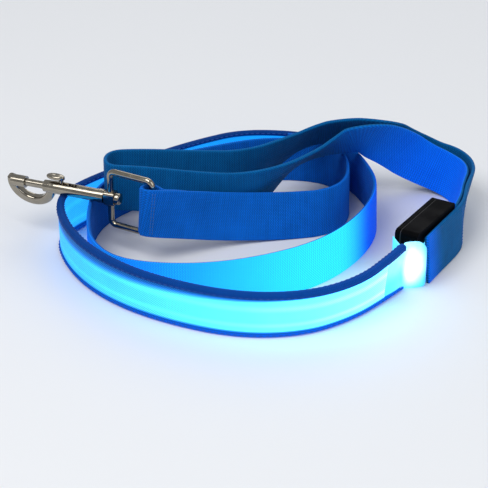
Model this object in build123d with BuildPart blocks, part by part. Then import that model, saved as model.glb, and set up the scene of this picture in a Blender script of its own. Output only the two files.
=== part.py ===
"""A light-up dog leash: flat webbing with a lit strip, a battery case, a hand loop and a swivel bolt snap.

Units are millimetres and +Z is up. The leash lies on its long edge on a flat surface, wound into a
loose inward spiral. From the outside in it is: hand loop, battery case, lit strip, plain webbing,
and the folded end that carries the eye ring and the snap, which lies across the top edges of the
spiral's left turn. The origin is on the surface, under the middle of the leash's own box.
"""
from math import atan2, cos, pi, radians, sin, tan
import os

from build123d import *

os.makedirs("parts", exist_ok=True)

# ---------------------------------------------------------------- driving dimensions
middle = (-0.77, 17.99)  # the middle of the laid-out leash, taken off every place below

webbing_width = 25.0
webbing_thickness = 2.0
layer_gap = 0.2  # between two sewn layers of webbing
strap_gap = 0.3  # between a strap's edge and what lies across it
joint_overlap = 12.0  # how far the webbing runs back beside the lit strip's end, where it is sewn
fold_heading = 26.6  # direction of the strap at the eye ring, in plan
fold_tail = 15.0  # from the ring's leg to the fold's raw end
fold_meeting = 9.0  # from the leg to where the fold's two layers come together
fold_spread = 4.0  # from the leg to where they are fully apart
fold_bend = 4.0
fold_reach = 3.0  # from the leg's middle to the middle of the fold's round end
rise_last_run = 22.0
band_reach = 400.0  # past the whole leash, for cutting bands to their height

stitch_proud = 0.35
stitch_length = 2.2
stitch_width = 0.6
stitch_pitch = 3.0
stitch_rows_gap = 2.4
stitches_across = 8
fold_seam_place = 12.8
box_seam_length = 5.0
box_seam_height = 20.0
joint_seam_length = 6.0
thread_clearance = 0.02

guide_thickness = 1.6
guide_margin = 4.4  # from the strip's edge to the light guide's
mesh_thickness = 0.5
mesh_gap = 0.05
binding_thickness = 0.5
binding_width = 4.0
window_length = 25.0
window_wall = 0.7
window_bulge = 4.8  # thickness of the clear window over the lamps
window_clearance = 0.2  # between the window's body and each binding
tongue_thickness = 0.8
tongue_length = 16.0
tongue_overlap = 3.2  # how far the tongue runs into the window's body

case_heading = 58.8  # direction of the case along the strap, in plan
case_start = (82.87143, -21.11265)  # the case's near end, next to the window
case_length = 42.0
case_height = 28.0
case_depth = 12.3
case_corner = 2.5
case_edge = 0.8
case_wall = 1.4
base_depth = 9.0
gasket_thickness = 0.5
gasket_inset = 0.2
gasket_clearance = 0.02
screw_radius = 0.85
screw_boss = 2.2
boss_sink = 0.5  # how far a screw's boss runs into the walls
screw_hole_depth = 6.0
screw_end_gap = 0.3
slot_depth = 0.5
screw_slot = 0.4
head_radius = 1.6
head_height = 1.0
panel_gap = 0.1
panel_setback = 0.8
panel_past_case = 1.0
seam_tail = 2.0
board_gap = 0.1
board_play = 0.3  # between the board's edges and the case's walls
board_boss_gap = 0.5  # between the board's notches and the screw bosses
board_thickness = 1.0
chip_height = 1.1
small_chip = (2.2, 3.0)
small_chip_offsets = ((-6.5, -7.0), (6.0, -1.0))  # from the push button's middle
large_chip = (5.0, 3.6)
large_chip_aside = 7.5
plate_thickness = 0.25
cell_diameter = 20.0
cell_thickness = 3.2
cell_count = 2
cell_gap = 0.05
cell_step_width = 1.2
cell_step_height = 0.5
contact_inset = 3.0
clip_width = 6.0
clip_clearance = 0.6
switch_side = 6.0
switch_corner = 0.6
switch_stem_radius = 1.7
switch_cap_height = 0.9
button_radius = 4.5
button_edge = 0.5
button_lip = 0.9
button_relief = 0.6
button_travel = 0.6
button_proud = 0.8
flange_thickness = 0.8
plunger_height = 1.0
plunger_radius = 1.4
plunger_gap = 0.2
lamp_distance = 9.0  # from the strip's start to the lamp board
led_base = (2.6, 2.8)
led_base_height = 1.2
led_radius = 1.2
led_height = 3.0
led_pitch = 4.4
led_count = 3
lead_width = 5.0
lead_thickness = 0.3
lead_bend = 3.0
lead_slot = 1.8
lead_play = 0.3
lead_end_gap = 0.25
lead_turn_reach = 1.8
lead_turn_depth = 0.55

wire_diameter = 3.2
ring_slack = 0.8  # play of the webbing's width inside the ring
ring_length = 24.6  # between the middles of its two short sides
ring_corner = 3.0
boss_length = 5.4
boss_height = 7.0
boss_depth = 6.0
boss_corner = 1.4
post_radius = 1.5
press_clearance = 0.01
running_clearance = 0.07
end_play = 0.1
washer_thickness = 0.5
rivet_radius = 3.0
rivet_height = 2.2
rivet_round = 1.2

collar_radius = 3.55
collar_length = 3.2
barrel_gap = 0.5  # between the ring's boss and the barrel's collar
barrel_length = 33.5  # collar included
barrel_radius = 3.3
barrel_taper = (6.0, 0.3)  # its length before the mouth, and how much thinner the mouth is
bore_radius = 2.3
bore_clearance = 0.05
mouth_length = 2.5
plug_length = 3.5
bolt_radius = 1.9
bolt_chamfer = 0.4
bolt_end_gap = 0.3
shoulder_length = 5.0
shoulder_setback = 7.8  # from the barrel's mouth to the shoulder's front
stem_setback = 1.6  # from the shoulder's front to the knob's stem
socket_depth = 1.2
gate_opening = 10.5  # from the barrel's mouth to the socket in the hook's tip
bolt_travel = 8.5
eye_past_barrel = 7.2  # from the barrel's mouth to the middle of the hook's oval
eye_half_length = 10.85  # of the oval that the middle of the hook's arm follows
eye_depth = 10.4
hook_sweep = 192.0  # how far round the oval the arm runs
hook_wire = 4.6
hook_corner = 1.4
nose_radius = 3.0
spring_wire = 0.4
spring_turns = 11
spring_clearance = 0.1
slot_width = 2.2
slot_corner_slack = 0.02
slot_play = (0.2, 0.3)  # beyond the knob's stem at the slot's front and rear
stem_radius = 0.95
knob_width = 6.0
knob_height = 7.8  # the top of the thumb knob above the bolt's axis
knob_gap = 0.45  # between the knob and the barrel
knob_round = 0.4
knob_setback = 0.5
knob_rear_step = 1.6
knob_front_step = 1.2
knob_crest = 4.6  # from the knob's front to its highest place

ring_place = (-66.1, 17.9)  # where the snap's axis meets the ring's boss
hook_azimuth = 22.0  # the snap's axis, turned from -X towards +Y
ring_azimuth = 30.0  # the ring's plane; the loose rivet lets the snap lie a little off it
hook_roll = -14.0  # the snap's lean about its own axis


def placed(x, y):
    """A place in the layout, measured from the leash's middle."""
    return (x - middle[0], y - middle[1])


# ---------------------------------------------------------------- routes of the straps, in plan
# The middle line of each strap, as corners of straight runs; tangent arcs round every corner.
strip_route = [
    placed(*p)
    for p in (
        (82.5, -22.5), (69, -41), (46, -63), (18, -74), (-14, -69), (-44, -54.5), (-71, -32),
        (-87.5, -4), (-93.5, 26), (-83.5, 44), (-58.5, 68), (-28, 92.5), (4, 110), (30, 103.5),
    )
]
ring_route = [
    placed(*p)
    for p in (
        (52.5, 92), (62, 74), (69, 42), (59.8, 10), (38, -20), (6, -38),
        (-26, -45), (-59, -40), (-74, -20), (-77, 8), (-76, 34), (-65, 55), (-44, 73),
        (-16, 87), (8, 96.5), (32, 96.5), (48, 89), (54.5, 71), (53.2, 46), (41.5, 33), (24, 30),
    )
]
rise_route = [placed(*p) for p in ((24, 30), (10, 27.6))]
loop_route = [
    placed(*p)
    for p in (
        (110, 26), (111.8, 42), (118, 65), (113.5, 83), (99, 90.5), (84, 86), (70, 77), (55, 82),
        (36, 83), (18.5, 67.8), (0, 53), (-26, 52), (-52, 49.5), (-69.5, 47), (-70, 29.5), (-52, 30),
        (-24, 28), (-2, 27.5), (17, 38), (32, 60), (48, 68), (63, 65.5), (78, 74), (92, 81), (107, 78),
    )
]

axis_height = webbing_width + strap_gap + barrel_radius  # the snap lies on the straps' top edges
crossing_height = axis_height - webbing_width / 2  # lower edge of the webbing at the eye ring

# Height of the strap's lower edge above the surface, as (x, height) from left to right.
loop_crossing = webbing_width + strap_gap  # its lower edge over the straps' top edges
loop_heights = [
    (-90, 16), (-68, 16), (-45, 15), (-20, 13), (8, 13), (24, 17.5), (34, loop_crossing),
    (72, loop_crossing), (84, 14), (93, 7), (101, 3), (106, 0), (140, 0),
]
rise_heights = [(-60, crossing_height), (-32, crossing_height), (-12, 7), (4, 2.6), (24, 0), (60, 0)]


# ---------------------------------------------------------------- helpers
def corner_radii(points):
    """The radius at each inner corner: as large as the two runs that meet there allow."""
    radii = []
    for before, here, after in zip(points, points[1:], points[2:]):
        run_in = Vector(here[0] - before[0], here[1] - before[1])
        run_out = Vector(after[0] - here[0], after[1] - here[1])
        half_turn = radians(run_in.get_angle(run_out)) / 2
        radii.append(0.45 * min(run_in.length, run_out.length) / tan(half_turn))
    return radii


def beside(points, distance):
    """The corners of a route that runs beside another, to its left by the given distance."""
    shifted = []
    for i, here in enumerate(points):
        before = points[max(i - 1, 0)]
        after = points[min(i + 1, len(points) - 1)]
        heading_in = atan2(here[1] - before[1], here[0] - before[0]) if i else None
        heading_out = atan2(after[1] - here[1], after[0] - here[0]) if i < len(points) - 1 else None
        heading_in = heading_out if heading_in is None else heading_in
        heading_out = heading_in if heading_out is None else heading_out
        turn = (heading_out - heading_in + pi) % (2 * pi) - pi
        middle_heading = heading_in + turn / 2
        reach = distance / cos(turn / 2)
        shifted.append((here[0] - reach * sin(middle_heading), here[1] + reach * cos(middle_heading)))
    return shifted


def start_plane(points, height):
    """The plane across a route's start: its X across the strap, its Y up, its Z along the route."""
    run = Vector(points[1][0] - points[0][0], points[1][1] - points[0][1], 0).normalized()
    return Plane(origin=(*points[0], height), x_dir=(-run.Y, run.X, 0), z_dir=run)


def side_band(heights, rise):
    """The outline, in X and Z, of a band of one height over a stepped lower edge."""
    lower = [(x - middle[0], z) for x, z in heights]
    return lower + [(x, z + rise) for x, z in reversed(lower)]


# ================================================================ the plain webbing
# Its ring: upright on the surface from the sewn joint with the lit strip to the inner turn.
mesh_middle = guide_thickness / 2 + mesh_gap + mesh_thickness / 2
mesh_width = webbing_width - 2 * (binding_thickness + mesh_gap)
channel_half = guide_thickness / 2 + 2 * mesh_gap + mesh_thickness
guide_width = webbing_width - 2 * guide_margin
strip_half = channel_half + binding_thickness
strip_end = Vector(*strip_route[-1], 0)
end_run = (strip_end - Vector(*strip_route[-2], 0)).normalized()
joint_side = Vector(-end_run.Y, end_run.X, 0) * (strip_half + layer_gap + webbing_thickness / 2)
joint_start = strip_end - end_run * joint_overlap + joint_side
joint_turn = strip_end + end_run * joint_overlap + joint_side
ring_route = [(joint_start.X, joint_start.Y), (joint_turn.X, joint_turn.Y)] + ring_route
with BuildPart() as webbing_ring:
    with BuildLine():
        FilletPolyline(*ring_route, radius=corner_radii(ring_route))
    with BuildSketch(start_plane(ring_route, webbing_width / 2)):
        Rectangle(webbing_thickness, webbing_width)
    sweep()

# The fold round the ring's far leg. Its frame has its origin at that leg, X along the strap.
ring_origin = Vector(*placed(*ring_place), axis_height)
ring_dir = Vector(-cos(radians(ring_azimuth)), sin(radians(ring_azimuth)), 0)
leg_place = ring_origin - ring_dir * ring_length
strap_dir = Vector(cos(radians(fold_heading)), sin(radians(fold_heading)), 0)
fold_plane = Plane(origin=(leg_place.X, leg_place.Y, 0), x_dir=strap_dir, z_dir=(0, 0, 1))
fold_half = wire_diameter / 2 + strap_gap + webbing_thickness / 2
second_layer = webbing_thickness + layer_gap - fold_half
fold_route = [
    (fold_tail, second_layer), (fold_meeting, second_layer), (fold_spread, fold_half),
    (-fold_reach - fold_half, fold_half), (-fold_reach - fold_half, -fold_half), (fold_tail, -fold_half),
]
round_end = fold_half - thread_clearance
with BuildPart() as webbing_fold:
    with BuildLine(fold_plane.offset(axis_height)):
        FilletPolyline(*fold_route, radius=[fold_bend, fold_bend, round_end, round_end])
    fold_start = fold_plane.from_local_coords(Vector(fold_tail, second_layer, axis_height))
    with BuildSketch(Plane(origin=fold_start, x_dir=fold_plane.y_dir, z_dir=-fold_plane.x_dir)):
        Rectangle(webbing_thickness, webbing_width)
    sweep()

# The run that comes down from the fold to the inner turn: its edge rises towards the ring.
tail_place = fold_plane.from_local_coords(Vector(fold_tail, -fold_half, 0))
last_bend = tail_place + strap_dir * rise_last_run
rise_corners = rise_route + [(last_bend.X, last_bend.Y), (tail_place.X, tail_place.Y)]
with BuildPart() as webbing_rise:
    with BuildLine():
        FilletPolyline(*rise_corners, radius=corner_radii(rise_corners))
    with BuildSketch(start_plane(rise_corners, webbing_width)):
        Rectangle(webbing_thickness, 3 * webbing_width)
    sweep()
    with BuildSketch(Plane.XZ):
        with BuildLine():
            Polyline(*side_band(rise_heights, webbing_width), close=True)
        make_face()
    extrude(amount=band_reach, both=True, mode=Mode.INTERSECT)

# Threads of the fold's seam: two rows of stitches through both layers, proud on each face.
with BuildPart() as fold_stitching:
    for face_y, way in ((-fold_half - webbing_thickness / 2, -1), (second_layer + webbing_thickness / 2, 1)):
        seam_origin = fold_plane.from_local_coords(Vector(fold_seam_place, face_y, axis_height))
        with BuildSketch(Plane(origin=seam_origin, x_dir=fold_plane.x_dir, z_dir=fold_plane.y_dir * way)):
            with GridLocations(stitch_rows_gap, stitch_pitch, 2, stitches_across):
                Rectangle(stitch_width, stitch_length)
        extrude(amount=stitch_proud)

# ================================================================ the lit strip
strip_plane = start_plane(strip_route, webbing_width / 2)
strip_radii = corner_radii(strip_route)
window_place = Vector(strip_route[0][0], strip_route[0][1], 0) + strip_plane.z_dir * (window_length / 2)
window_zone = Plane(origin=(window_place.X, window_place.Y, 0), x_dir=strip_plane.z_dir, z_dir=(0, 0, 1))


def window_box(mode):
    """The stretch of the strip that the clear window takes up, next to the case."""
    with Locations(window_zone):
        Box(window_length, webbing_width, 2 * webbing_width, mode=mode)


with BuildPart() as light_guide:
    with BuildLine():
        FilletPolyline(*strip_route, radius=strip_radii)
    with BuildSketch(strip_plane):
        Rectangle(guide_thickness, guide_width)
    sweep()
    window_box(Mode.SUBTRACT)

with BuildPart() as outer_mesh:
    with BuildLine():
        FilletPolyline(*strip_route, radius=strip_radii)
    with BuildSketch(strip_plane):
        with Locations((-mesh_middle, 0)):
            Rectangle(mesh_thickness, mesh_width)
    sweep()
    window_box(Mode.SUBTRACT)

with BuildPart() as inner_mesh:
    with BuildLine():
        FilletPolyline(*strip_route, radius=strip_radii)
    with BuildSketch(strip_plane):
        with Locations((mesh_middle, 0)):
            Rectangle(mesh_thickness, mesh_width)
    sweep()
    window_box(Mode.SUBTRACT)


def binding(edge):
    """A woven tape folded over one edge of the strip; edge is 1 for the top and -1 for the bottom."""
    with BuildPart() as tape:
        with BuildLine():
            FilletPolyline(*strip_route, radius=strip_radii)
        with BuildSketch(strip_plane):
            with Locations((0, edge * (webbing_width - binding_width) / 2)):
                Rectangle(2 * strip_half, binding_width)
            channel_depth = binding_width - binding_thickness
            with Locations((0, edge * (webbing_width / 2 - binding_thickness - channel_depth / 2))):
                Rectangle(2 * channel_half, channel_depth, mode=Mode.SUBTRACT)
        sweep()
    return tape.part


top_binding = binding(1)
bottom_binding = binding(-1)

# The clear window: a flanged tube between the two bindings, with a tongue behind the webbing.
case_along = Vector(cos(radians(case_heading)), sin(radians(case_heading)), 0)
case_out = Vector(case_along.Y, -case_along.X, 0)
case_middle = Vector(*placed(*case_start), webbing_width / 2) + case_along * (case_length / 2)
case_plane = Plane(origin=case_middle, x_dir=case_along, z_dir=case_out)
window_body_width = webbing_width - 2 * (binding_width + window_clearance)
with BuildPart() as clear_window:
    with BuildLine():
        FilletPolyline(*strip_route, radius=strip_radii)
    with BuildSketch(strip_plane):
        Rectangle(window_bulge, window_body_width)
        Rectangle(2 * (channel_half - mesh_gap), mesh_width)
        Rectangle(window_bulge - 2 * window_wall, window_body_width - 2 * window_wall, mode=Mode.SUBTRACT)
    sweep()
    window_box(Mode.INTERSECT)
    with BuildSketch(case_plane):
        with Locations(((tongue_length - case_length - tongue_overlap) / 2, 0)):
            Rectangle(tongue_length + tongue_overlap, window_body_width)
    extrude(amount=tongue_thickness)

# ================================================================ the hand loop
panel_inner = tongue_thickness + panel_gap
panel_start = -case_length / 2 + panel_setback
panel_finish = case_length / 2 + panel_past_case
panel_middle = panel_inner + webbing_thickness / 2
panel_end = case_plane.from_local_coords(Vector(panel_finish, 0, panel_middle))
loop_corners = [(panel_end.X, panel_end.Y)] + loop_route
seam_corners = beside(loop_corners[:4], webbing_thickness + layer_gap)[:3]
seam_run = Vector(seam_corners[1][0] - seam_corners[0][0], seam_corners[1][1] - seam_corners[0][1], 0)
seam_end = Vector(*seam_corners[0], 0) + seam_run.normalized() * seam_tail
last_corner = beside(loop_corners[:5], webbing_thickness + layer_gap)[3]
whole_loop = loop_corners + [last_corner, seam_corners[2], seam_corners[1], (seam_end.X, seam_end.Y)]
loop_radii = corner_radii(whole_loop)
loop_radii[-1] = loop_radii[0] - webbing_thickness - layer_gap
loop_radii[-2] = loop_radii[1] - webbing_thickness - layer_gap
with BuildPart() as handle_webbing:
    with BuildLine():
        FilletPolyline(*whole_loop, radius=loop_radii)
    with BuildSketch(start_plane(whole_loop, webbing_width)):
        Rectangle(webbing_thickness, 3 * webbing_width)
    sweep()
    with BuildSketch(Plane.XZ):
        with BuildLine():
            Polyline(*side_band(loop_heights, webbing_width), close=True)
        make_face()
    extrude(amount=band_reach, both=True, mode=Mode.INTERSECT)
    with BuildSketch(case_plane.offset(panel_inner)):
        with Locations(((panel_start + panel_finish) / 2, 0)):
            Rectangle(panel_finish - panel_start, webbing_width)
    extrude(amount=webbing_thickness)

seam_middle = Vector(*seam_corners[1], 0) + (Vector(*seam_corners[2], 0) - Vector(*seam_corners[1], 0)) / 2
outer_middle = Vector(*loop_corners[1], 0) + (Vector(*loop_corners[2], 0) - Vector(*loop_corners[1], 0)) / 2
seam_way = (Vector(*loop_corners[2], 0) - Vector(*loop_corners[1], 0)).normalized()
seam_out = Vector(seam_way.Y, -seam_way.X, 0)
with BuildPart() as handle_stitching:
    for middle_place, way in ((outer_middle, 1), (seam_middle, -1)):
        face_place = middle_place + seam_out * way * (webbing_thickness / 2 + thread_clearance)
        face_place = Vector(face_place.X, face_place.Y, webbing_width / 2)
        with BuildSketch(Plane(origin=face_place, x_dir=seam_way, z_dir=seam_out * way)):
            with GridLocations(box_seam_length, stitch_pitch, 2, stitches_across):
                Rectangle(stitch_width, stitch_length)
            with GridLocations(stitch_pitch, box_seam_height, 2, 2):
                Rectangle(stitch_length, stitch_width)
        extrude(amount=stitch_proud)

# The joint of the webbing and the lit strip: threads on the webbing's outer face.
joint_middle = strip_end - end_run * joint_overlap / 2 + joint_side
joint_out = joint_side.normalized()
joint_face = joint_middle + joint_out * (webbing_thickness / 2)
joint_face = Vector(joint_face.X, joint_face.Y, webbing_width / 2)
with BuildPart() as joint_stitching:
    with BuildSketch(Plane(origin=joint_face, x_dir=end_run, z_dir=joint_out)):
        with GridLocations(joint_seam_length, stitch_pitch, 2, stitches_across - 1):
            Rectangle(stitch_width, stitch_length)
    extrude(amount=stitch_proud)

# ================================================================ the battery case
# In the case's frame X runs along the strap, Y is up and Z points out through the webbing;
# the case stands behind the strap, so it lies at negative Z.
case_lift = (case_height - webbing_width) / 2
cavity_length = case_length - 2 * case_wall
cavity_height = case_height - 2 * case_wall
seam_depth = base_depth + gasket_thickness
screw_x = cavity_length / 2 - screw_boss + boss_sink
screw_y = cavity_height / 2 - screw_boss + boss_sink
screw_places = [
    (x, case_lift + y) for x in (-screw_x, screw_x) for y in (-screw_y, screw_y)
]
board_top = case_wall + board_gap
cell_start = board_top + board_thickness + plate_thickness + 2 * cell_gap
cell_end = cell_start + cell_count * (cell_thickness + cell_gap)
cell_place = (-7.5, case_lift)
button_place = (11.0, case_lift)
lead_depth = board_top + board_thickness / 2

with BuildPart() as case_base:
    with BuildSketch(case_plane):
        with Locations((0, case_lift)):
            RectangleRounded(case_length, case_height, case_corner)
    extrude(amount=-base_depth)
    with BuildSketch(case_plane.offset(-base_depth)):
        with Locations((0, case_lift)):
            RectangleRounded(cavity_length, cavity_height, case_corner - case_wall)
    extrude(amount=base_depth - case_wall, mode=Mode.SUBTRACT)
    with BuildSketch(case_plane.offset(-base_depth)):
        with Locations(*screw_places):
            Circle(screw_boss)
    extrude(amount=base_depth - case_wall / 2)
    with BuildSketch(case_plane.offset(-base_depth)):
        with Locations(*screw_places):
            Circle(screw_radius + bore_clearance)
    extrude(amount=screw_hole_depth, mode=Mode.SUBTRACT)
    with Locations(case_plane.offset(-lead_depth + lead_slot / 4)):
        with Locations((-case_length / 2, 0, 0)):
            Box(4 * case_wall, lead_width + 2 * lead_play, lead_slot, mode=Mode.SUBTRACT)

with BuildPart() as case_gasket:
    with BuildSketch(case_plane.offset(-base_depth - gasket_thickness / 2)):
        with Locations((0, case_lift)):
            RectangleRounded(case_length - 2 * gasket_inset, case_height - 2 * gasket_inset, case_corner)
            RectangleRounded(cavity_length, cavity_height, case_corner - case_wall, mode=Mode.SUBTRACT)
    extrude(amount=gasket_thickness / 2 - gasket_clearance, both=True)

with BuildPart() as case_lid:
    with BuildSketch(case_plane.offset(-seam_depth)):
        with Locations((0, case_lift)):
            RectangleRounded(case_length, case_height, case_corner)
    extrude(amount=-(case_depth - seam_depth))
    with BuildSketch(case_plane.offset(-seam_depth)):
        with Locations((0, case_lift)):
            RectangleRounded(cavity_length, cavity_height, case_corner - case_wall)
    extrude(amount=-(case_depth - seam_depth - case_wall), mode=Mode.SUBTRACT)
    with BuildSketch(case_plane.offset(-seam_depth)):
        with Locations(*screw_places):
            Circle(screw_boss)
    extrude(amount=-(case_depth - seam_depth - case_wall / 2))
    fillet(case_lid.faces().sort_by(Axis(case_middle, case_out))[0].edges(), case_edge)
    with BuildSketch(case_plane.offset(-seam_depth)):
        with Locations(*screw_places):
            Circle(screw_radius + bore_clearance)
        with Locations(button_place):
            Circle(button_radius + running_clearance)
    extrude(amount=-case_depth, mode=Mode.SUBTRACT)
    with BuildSketch(case_plane.offset(-case_depth)):
        with Locations(*screw_places):
            Circle(head_radius + bore_clearance)
    extrude(amount=head_height + bore_clearance, mode=Mode.SUBTRACT)

with BuildPart() as case_screws:
    with BuildSketch(case_plane.offset(-case_depth)):
        with Locations(*screw_places):
            Circle(head_radius)
    extrude(amount=head_height)
    with BuildSketch(case_plane.offset(-case_depth + head_height)):
        with Locations(*screw_places):
            Circle(screw_radius)
    extrude(amount=case_depth - head_height - base_depth + screw_hole_depth - screw_end_gap)
    with BuildSketch(case_plane.offset(-case_depth)):
        with Locations(*screw_places):
            Rectangle(2 * screw_radius, screw_slot)
            Rectangle(screw_slot, 2 * screw_radius)
    extrude(amount=slot_depth, mode=Mode.SUBTRACT)

notch = 2 * screw_boss + board_boss_gap
small_chip_places = [(button_place[0] + x, case_lift + y) for x, y in small_chip_offsets]
large_chip_places = [(button_place[0], case_lift + side * large_chip_aside) for side in (-1, 1)]
with BuildPart() as circuit_board:
    with BuildSketch(case_plane.offset(-board_top)):
        with Locations((0, case_lift)):
            Rectangle(cavity_length - 2 * board_play, cavity_height - 2 * board_play)
            with GridLocations(cavity_length, cavity_height, 2, 2):
                Rectangle(2 * notch, 2 * notch, mode=Mode.SUBTRACT)
    extrude(amount=-board_thickness)
    with BuildSketch(case_plane.offset(-board_top - board_thickness)):
        with Locations(*small_chip_places):
            Rectangle(*small_chip)
        with Locations(*large_chip_places):
            Rectangle(*large_chip)
    extrude(amount=-chip_height)

with BuildPart() as cell_contact:
    with BuildSketch(case_plane.offset(-board_top - board_thickness - cell_gap)):
        with Locations(cell_place):
            Circle(cell_diameter / 2 - contact_inset)
    extrude(amount=-plate_thickness)

with BuildPart() as coin_cells:
    for i in range(cell_count):
        can_start = cell_start + i * (cell_thickness + cell_gap)
        with BuildSketch(case_plane.offset(-can_start)):
            with Locations(cell_place):
                Circle(cell_diameter / 2 - cell_step_width)
        extrude(amount=-cell_step_height)
        with BuildSketch(case_plane.offset(-can_start - cell_step_height)):
            with Locations(cell_place):
                Circle(cell_diameter / 2)
        extrude(amount=-(cell_thickness - cell_step_height))

clip_side = cell_diameter / 2 + clip_clearance
with BuildPart() as cell_clip:
    with BuildSketch(case_plane.offset(-cell_end)):
        with Locations((cell_place[0] + clip_side / 2, case_lift)):
            Rectangle(clip_side + plate_thickness, clip_width)
    extrude(amount=-plate_thickness)
    with BuildSketch(case_plane.offset(-cell_end)):
        with Locations((cell_place[0] + clip_side, case_lift)):
            Rectangle(plate_thickness, clip_width)
    extrude(amount=cell_end - board_top - board_thickness - cell_gap)

switch_foot = board_top + board_thickness + gasket_clearance
switch_height = case_depth - case_wall - flange_thickness - plunger_height - switch_foot
with BuildPart() as tact_switch:
    with BuildSketch(case_plane.offset(-switch_foot)):
        with Locations(button_place):
            RectangleRounded(switch_side, switch_side, switch_corner)
    extrude(amount=-(switch_height - button_travel - switch_cap_height))
    with BuildSketch(case_plane.offset(-switch_foot)):
        with Locations(button_place):
            Circle(switch_stem_radius)
    extrude(amount=-(switch_height - button_travel))

with BuildPart() as push_button:
    with BuildSketch(case_plane.offset(-case_depth - button_proud)):
        with Locations(button_place):
            Circle(button_radius)
    extrude(amount=button_proud + case_wall)
    with BuildSketch(case_plane.offset(-case_depth + case_wall + cell_gap)):
        with Locations(button_place):
            Circle(button_radius + button_lip)
    extrude(amount=flange_thickness)
    with BuildSketch(case_plane.offset(-case_depth + case_wall)):
        with Locations(button_place):
            Circle(button_radius - button_relief)
    extrude(amount=flange_thickness)
    with BuildSketch(case_plane.offset(-case_depth + case_wall + flange_thickness)):
        with Locations(button_place):
            Circle(plunger_radius)
    extrude(amount=plunger_height - plunger_gap)
    fillet(push_button.faces().sort_by(Axis(case_middle, case_out))[0].edges(), button_edge)

# The lamps: a small board across the window's mouth, with a flexible lead back to the case.
lamp_place = strip_plane.origin + strip_plane.z_dir * lamp_distance
lamp_plane = Plane(origin=lamp_place, x_dir=strip_plane.x_dir, z_dir=strip_plane.z_dir)
lamp_room = window_bulge - 2 * window_wall
lead_end_x = -cavity_length / 2 + lead_end_gap
with BuildPart() as lamp_board:
    with BuildSketch(lamp_plane):
        Rectangle(lamp_room - 2 * cell_gap, window_body_width - 2 * window_wall - 2 * cell_gap)
    extrude(amount=board_thickness)

with BuildPart() as leds:
    with BuildSketch(lamp_plane.offset(board_thickness)):
        with GridLocations(1, led_pitch, 1, led_count):
            Rectangle(*led_base)
    extrude(amount=led_base_height)
    with BuildSketch(lamp_plane.offset(board_thickness)):
        with GridLocations(1, led_pitch, 1, led_count):
            Circle(led_radius)
    extrude(amount=led_height)

lead_exit = case_plane.from_local_coords(Vector(lead_end_x, 0, -lead_depth))
lead_turn = case_plane.from_local_coords(Vector(-case_length / 2 - lead_turn_reach, 0, -lead_turn_depth))
lead_route = [(lamp_place.X, lamp_place.Y), (lead_turn.X, lead_turn.Y), (lead_exit.X, lead_exit.Y)]
with BuildPart() as led_lead:
    with BuildLine():
        FilletPolyline(*lead_route, radius=lead_bend)
    with BuildSketch(start_plane(lead_route, webbing_width / 2)):
        Rectangle(lead_thickness, lead_width)
    sweep()

# ================================================================ the eye ring and the snap
hook_dir = Vector(-cos(radians(hook_azimuth)), sin(radians(hook_azimuth)), 0)
level_side = Vector(sin(radians(hook_azimuth)), cos(radians(hook_azimuth)), 0)
hook_up = Vector(0, 0, 1) * cos(radians(hook_roll)) + level_side * sin(radians(hook_roll))
hook_profile = Plane(origin=ring_origin, x_dir=hook_dir, z_dir=hook_dir.cross(hook_up))
hook_top = Plane(origin=ring_origin, x_dir=hook_dir, z_dir=hook_up)
hook_axis = Axis(ring_origin, hook_dir)


def across(distance):
    """The plane square to the snap's axis at a distance along it from the ring's boss."""
    return Plane(origin=ring_origin + hook_dir * distance, x_dir=hook_up, z_dir=hook_dir)


ring_width = webbing_width + ring_slack + wire_diameter
ring_plane = Plane(
    origin=ring_origin - ring_dir * ring_length / 2, x_dir=ring_dir, z_dir=ring_dir.cross(Vector(0, 0, 1))
)
with BuildPart() as eye_ring:
    with BuildLine(ring_plane):
        ring_wire = FilletPolyline(
            (ring_length / 2, ring_width / 2), (ring_length / 2, -ring_width / 2),
            (-ring_length / 2, -ring_width / 2), (-ring_length / 2, ring_width / 2),
            radius=ring_corner, close=True,
        )
    with BuildSketch(Plane(origin=ring_wire @ 0, z_dir=ring_wire % 0)):
        Circle(wire_diameter / 2)
    sweep()
    with BuildSketch(Plane(origin=ring_origin - hook_dir * boss_length / 2, x_dir=(0, 0, 1), z_dir=hook_dir)):
        RectangleRounded(boss_height, boss_depth, boss_corner)
    extrude(amount=boss_length)
    with BuildSketch(across(-boss_length)):
        Circle(post_radius + running_clearance)
    extrude(amount=2 * boss_length, mode=Mode.SUBTRACT)

washer_end = -boss_length / 2 - end_play
rivet_end = washer_end - washer_thickness - end_play
barrel_start = boss_length / 2 + barrel_gap
barrel_end = barrel_start + barrel_length
bore_end = barrel_end - mouth_length
plug_end = barrel_start + plug_length
spring_start = plug_end + end_play
shoulder_front = barrel_end - shoulder_setback
shoulder_rear = shoulder_front - shoulder_length
stem_place = shoulder_front - stem_setback
socket_face = barrel_end + gate_opening
eye_middle = barrel_end + eye_past_barrel

with BuildPart() as swivel_washer:
    with BuildSketch(across(washer_end)):
        Circle(rivet_radius)
        Circle(post_radius + running_clearance, mode=Mode.SUBTRACT)
    extrude(amount=-washer_thickness)

with BuildPart() as swivel_post:
    with BuildSketch(across(rivet_end)):
        Circle(rivet_radius)
    extrude(amount=-rivet_height)
    fillet(swivel_post.faces().sort_by(hook_axis)[0].edges(), rivet_round)
    with BuildSketch(across(rivet_end)):
        Circle(post_radius)
    extrude(amount=plug_end - rivet_end)
    with BuildSketch(across(barrel_start)):
        Circle(bore_radius - press_clearance)
    extrude(amount=plug_length)

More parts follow.
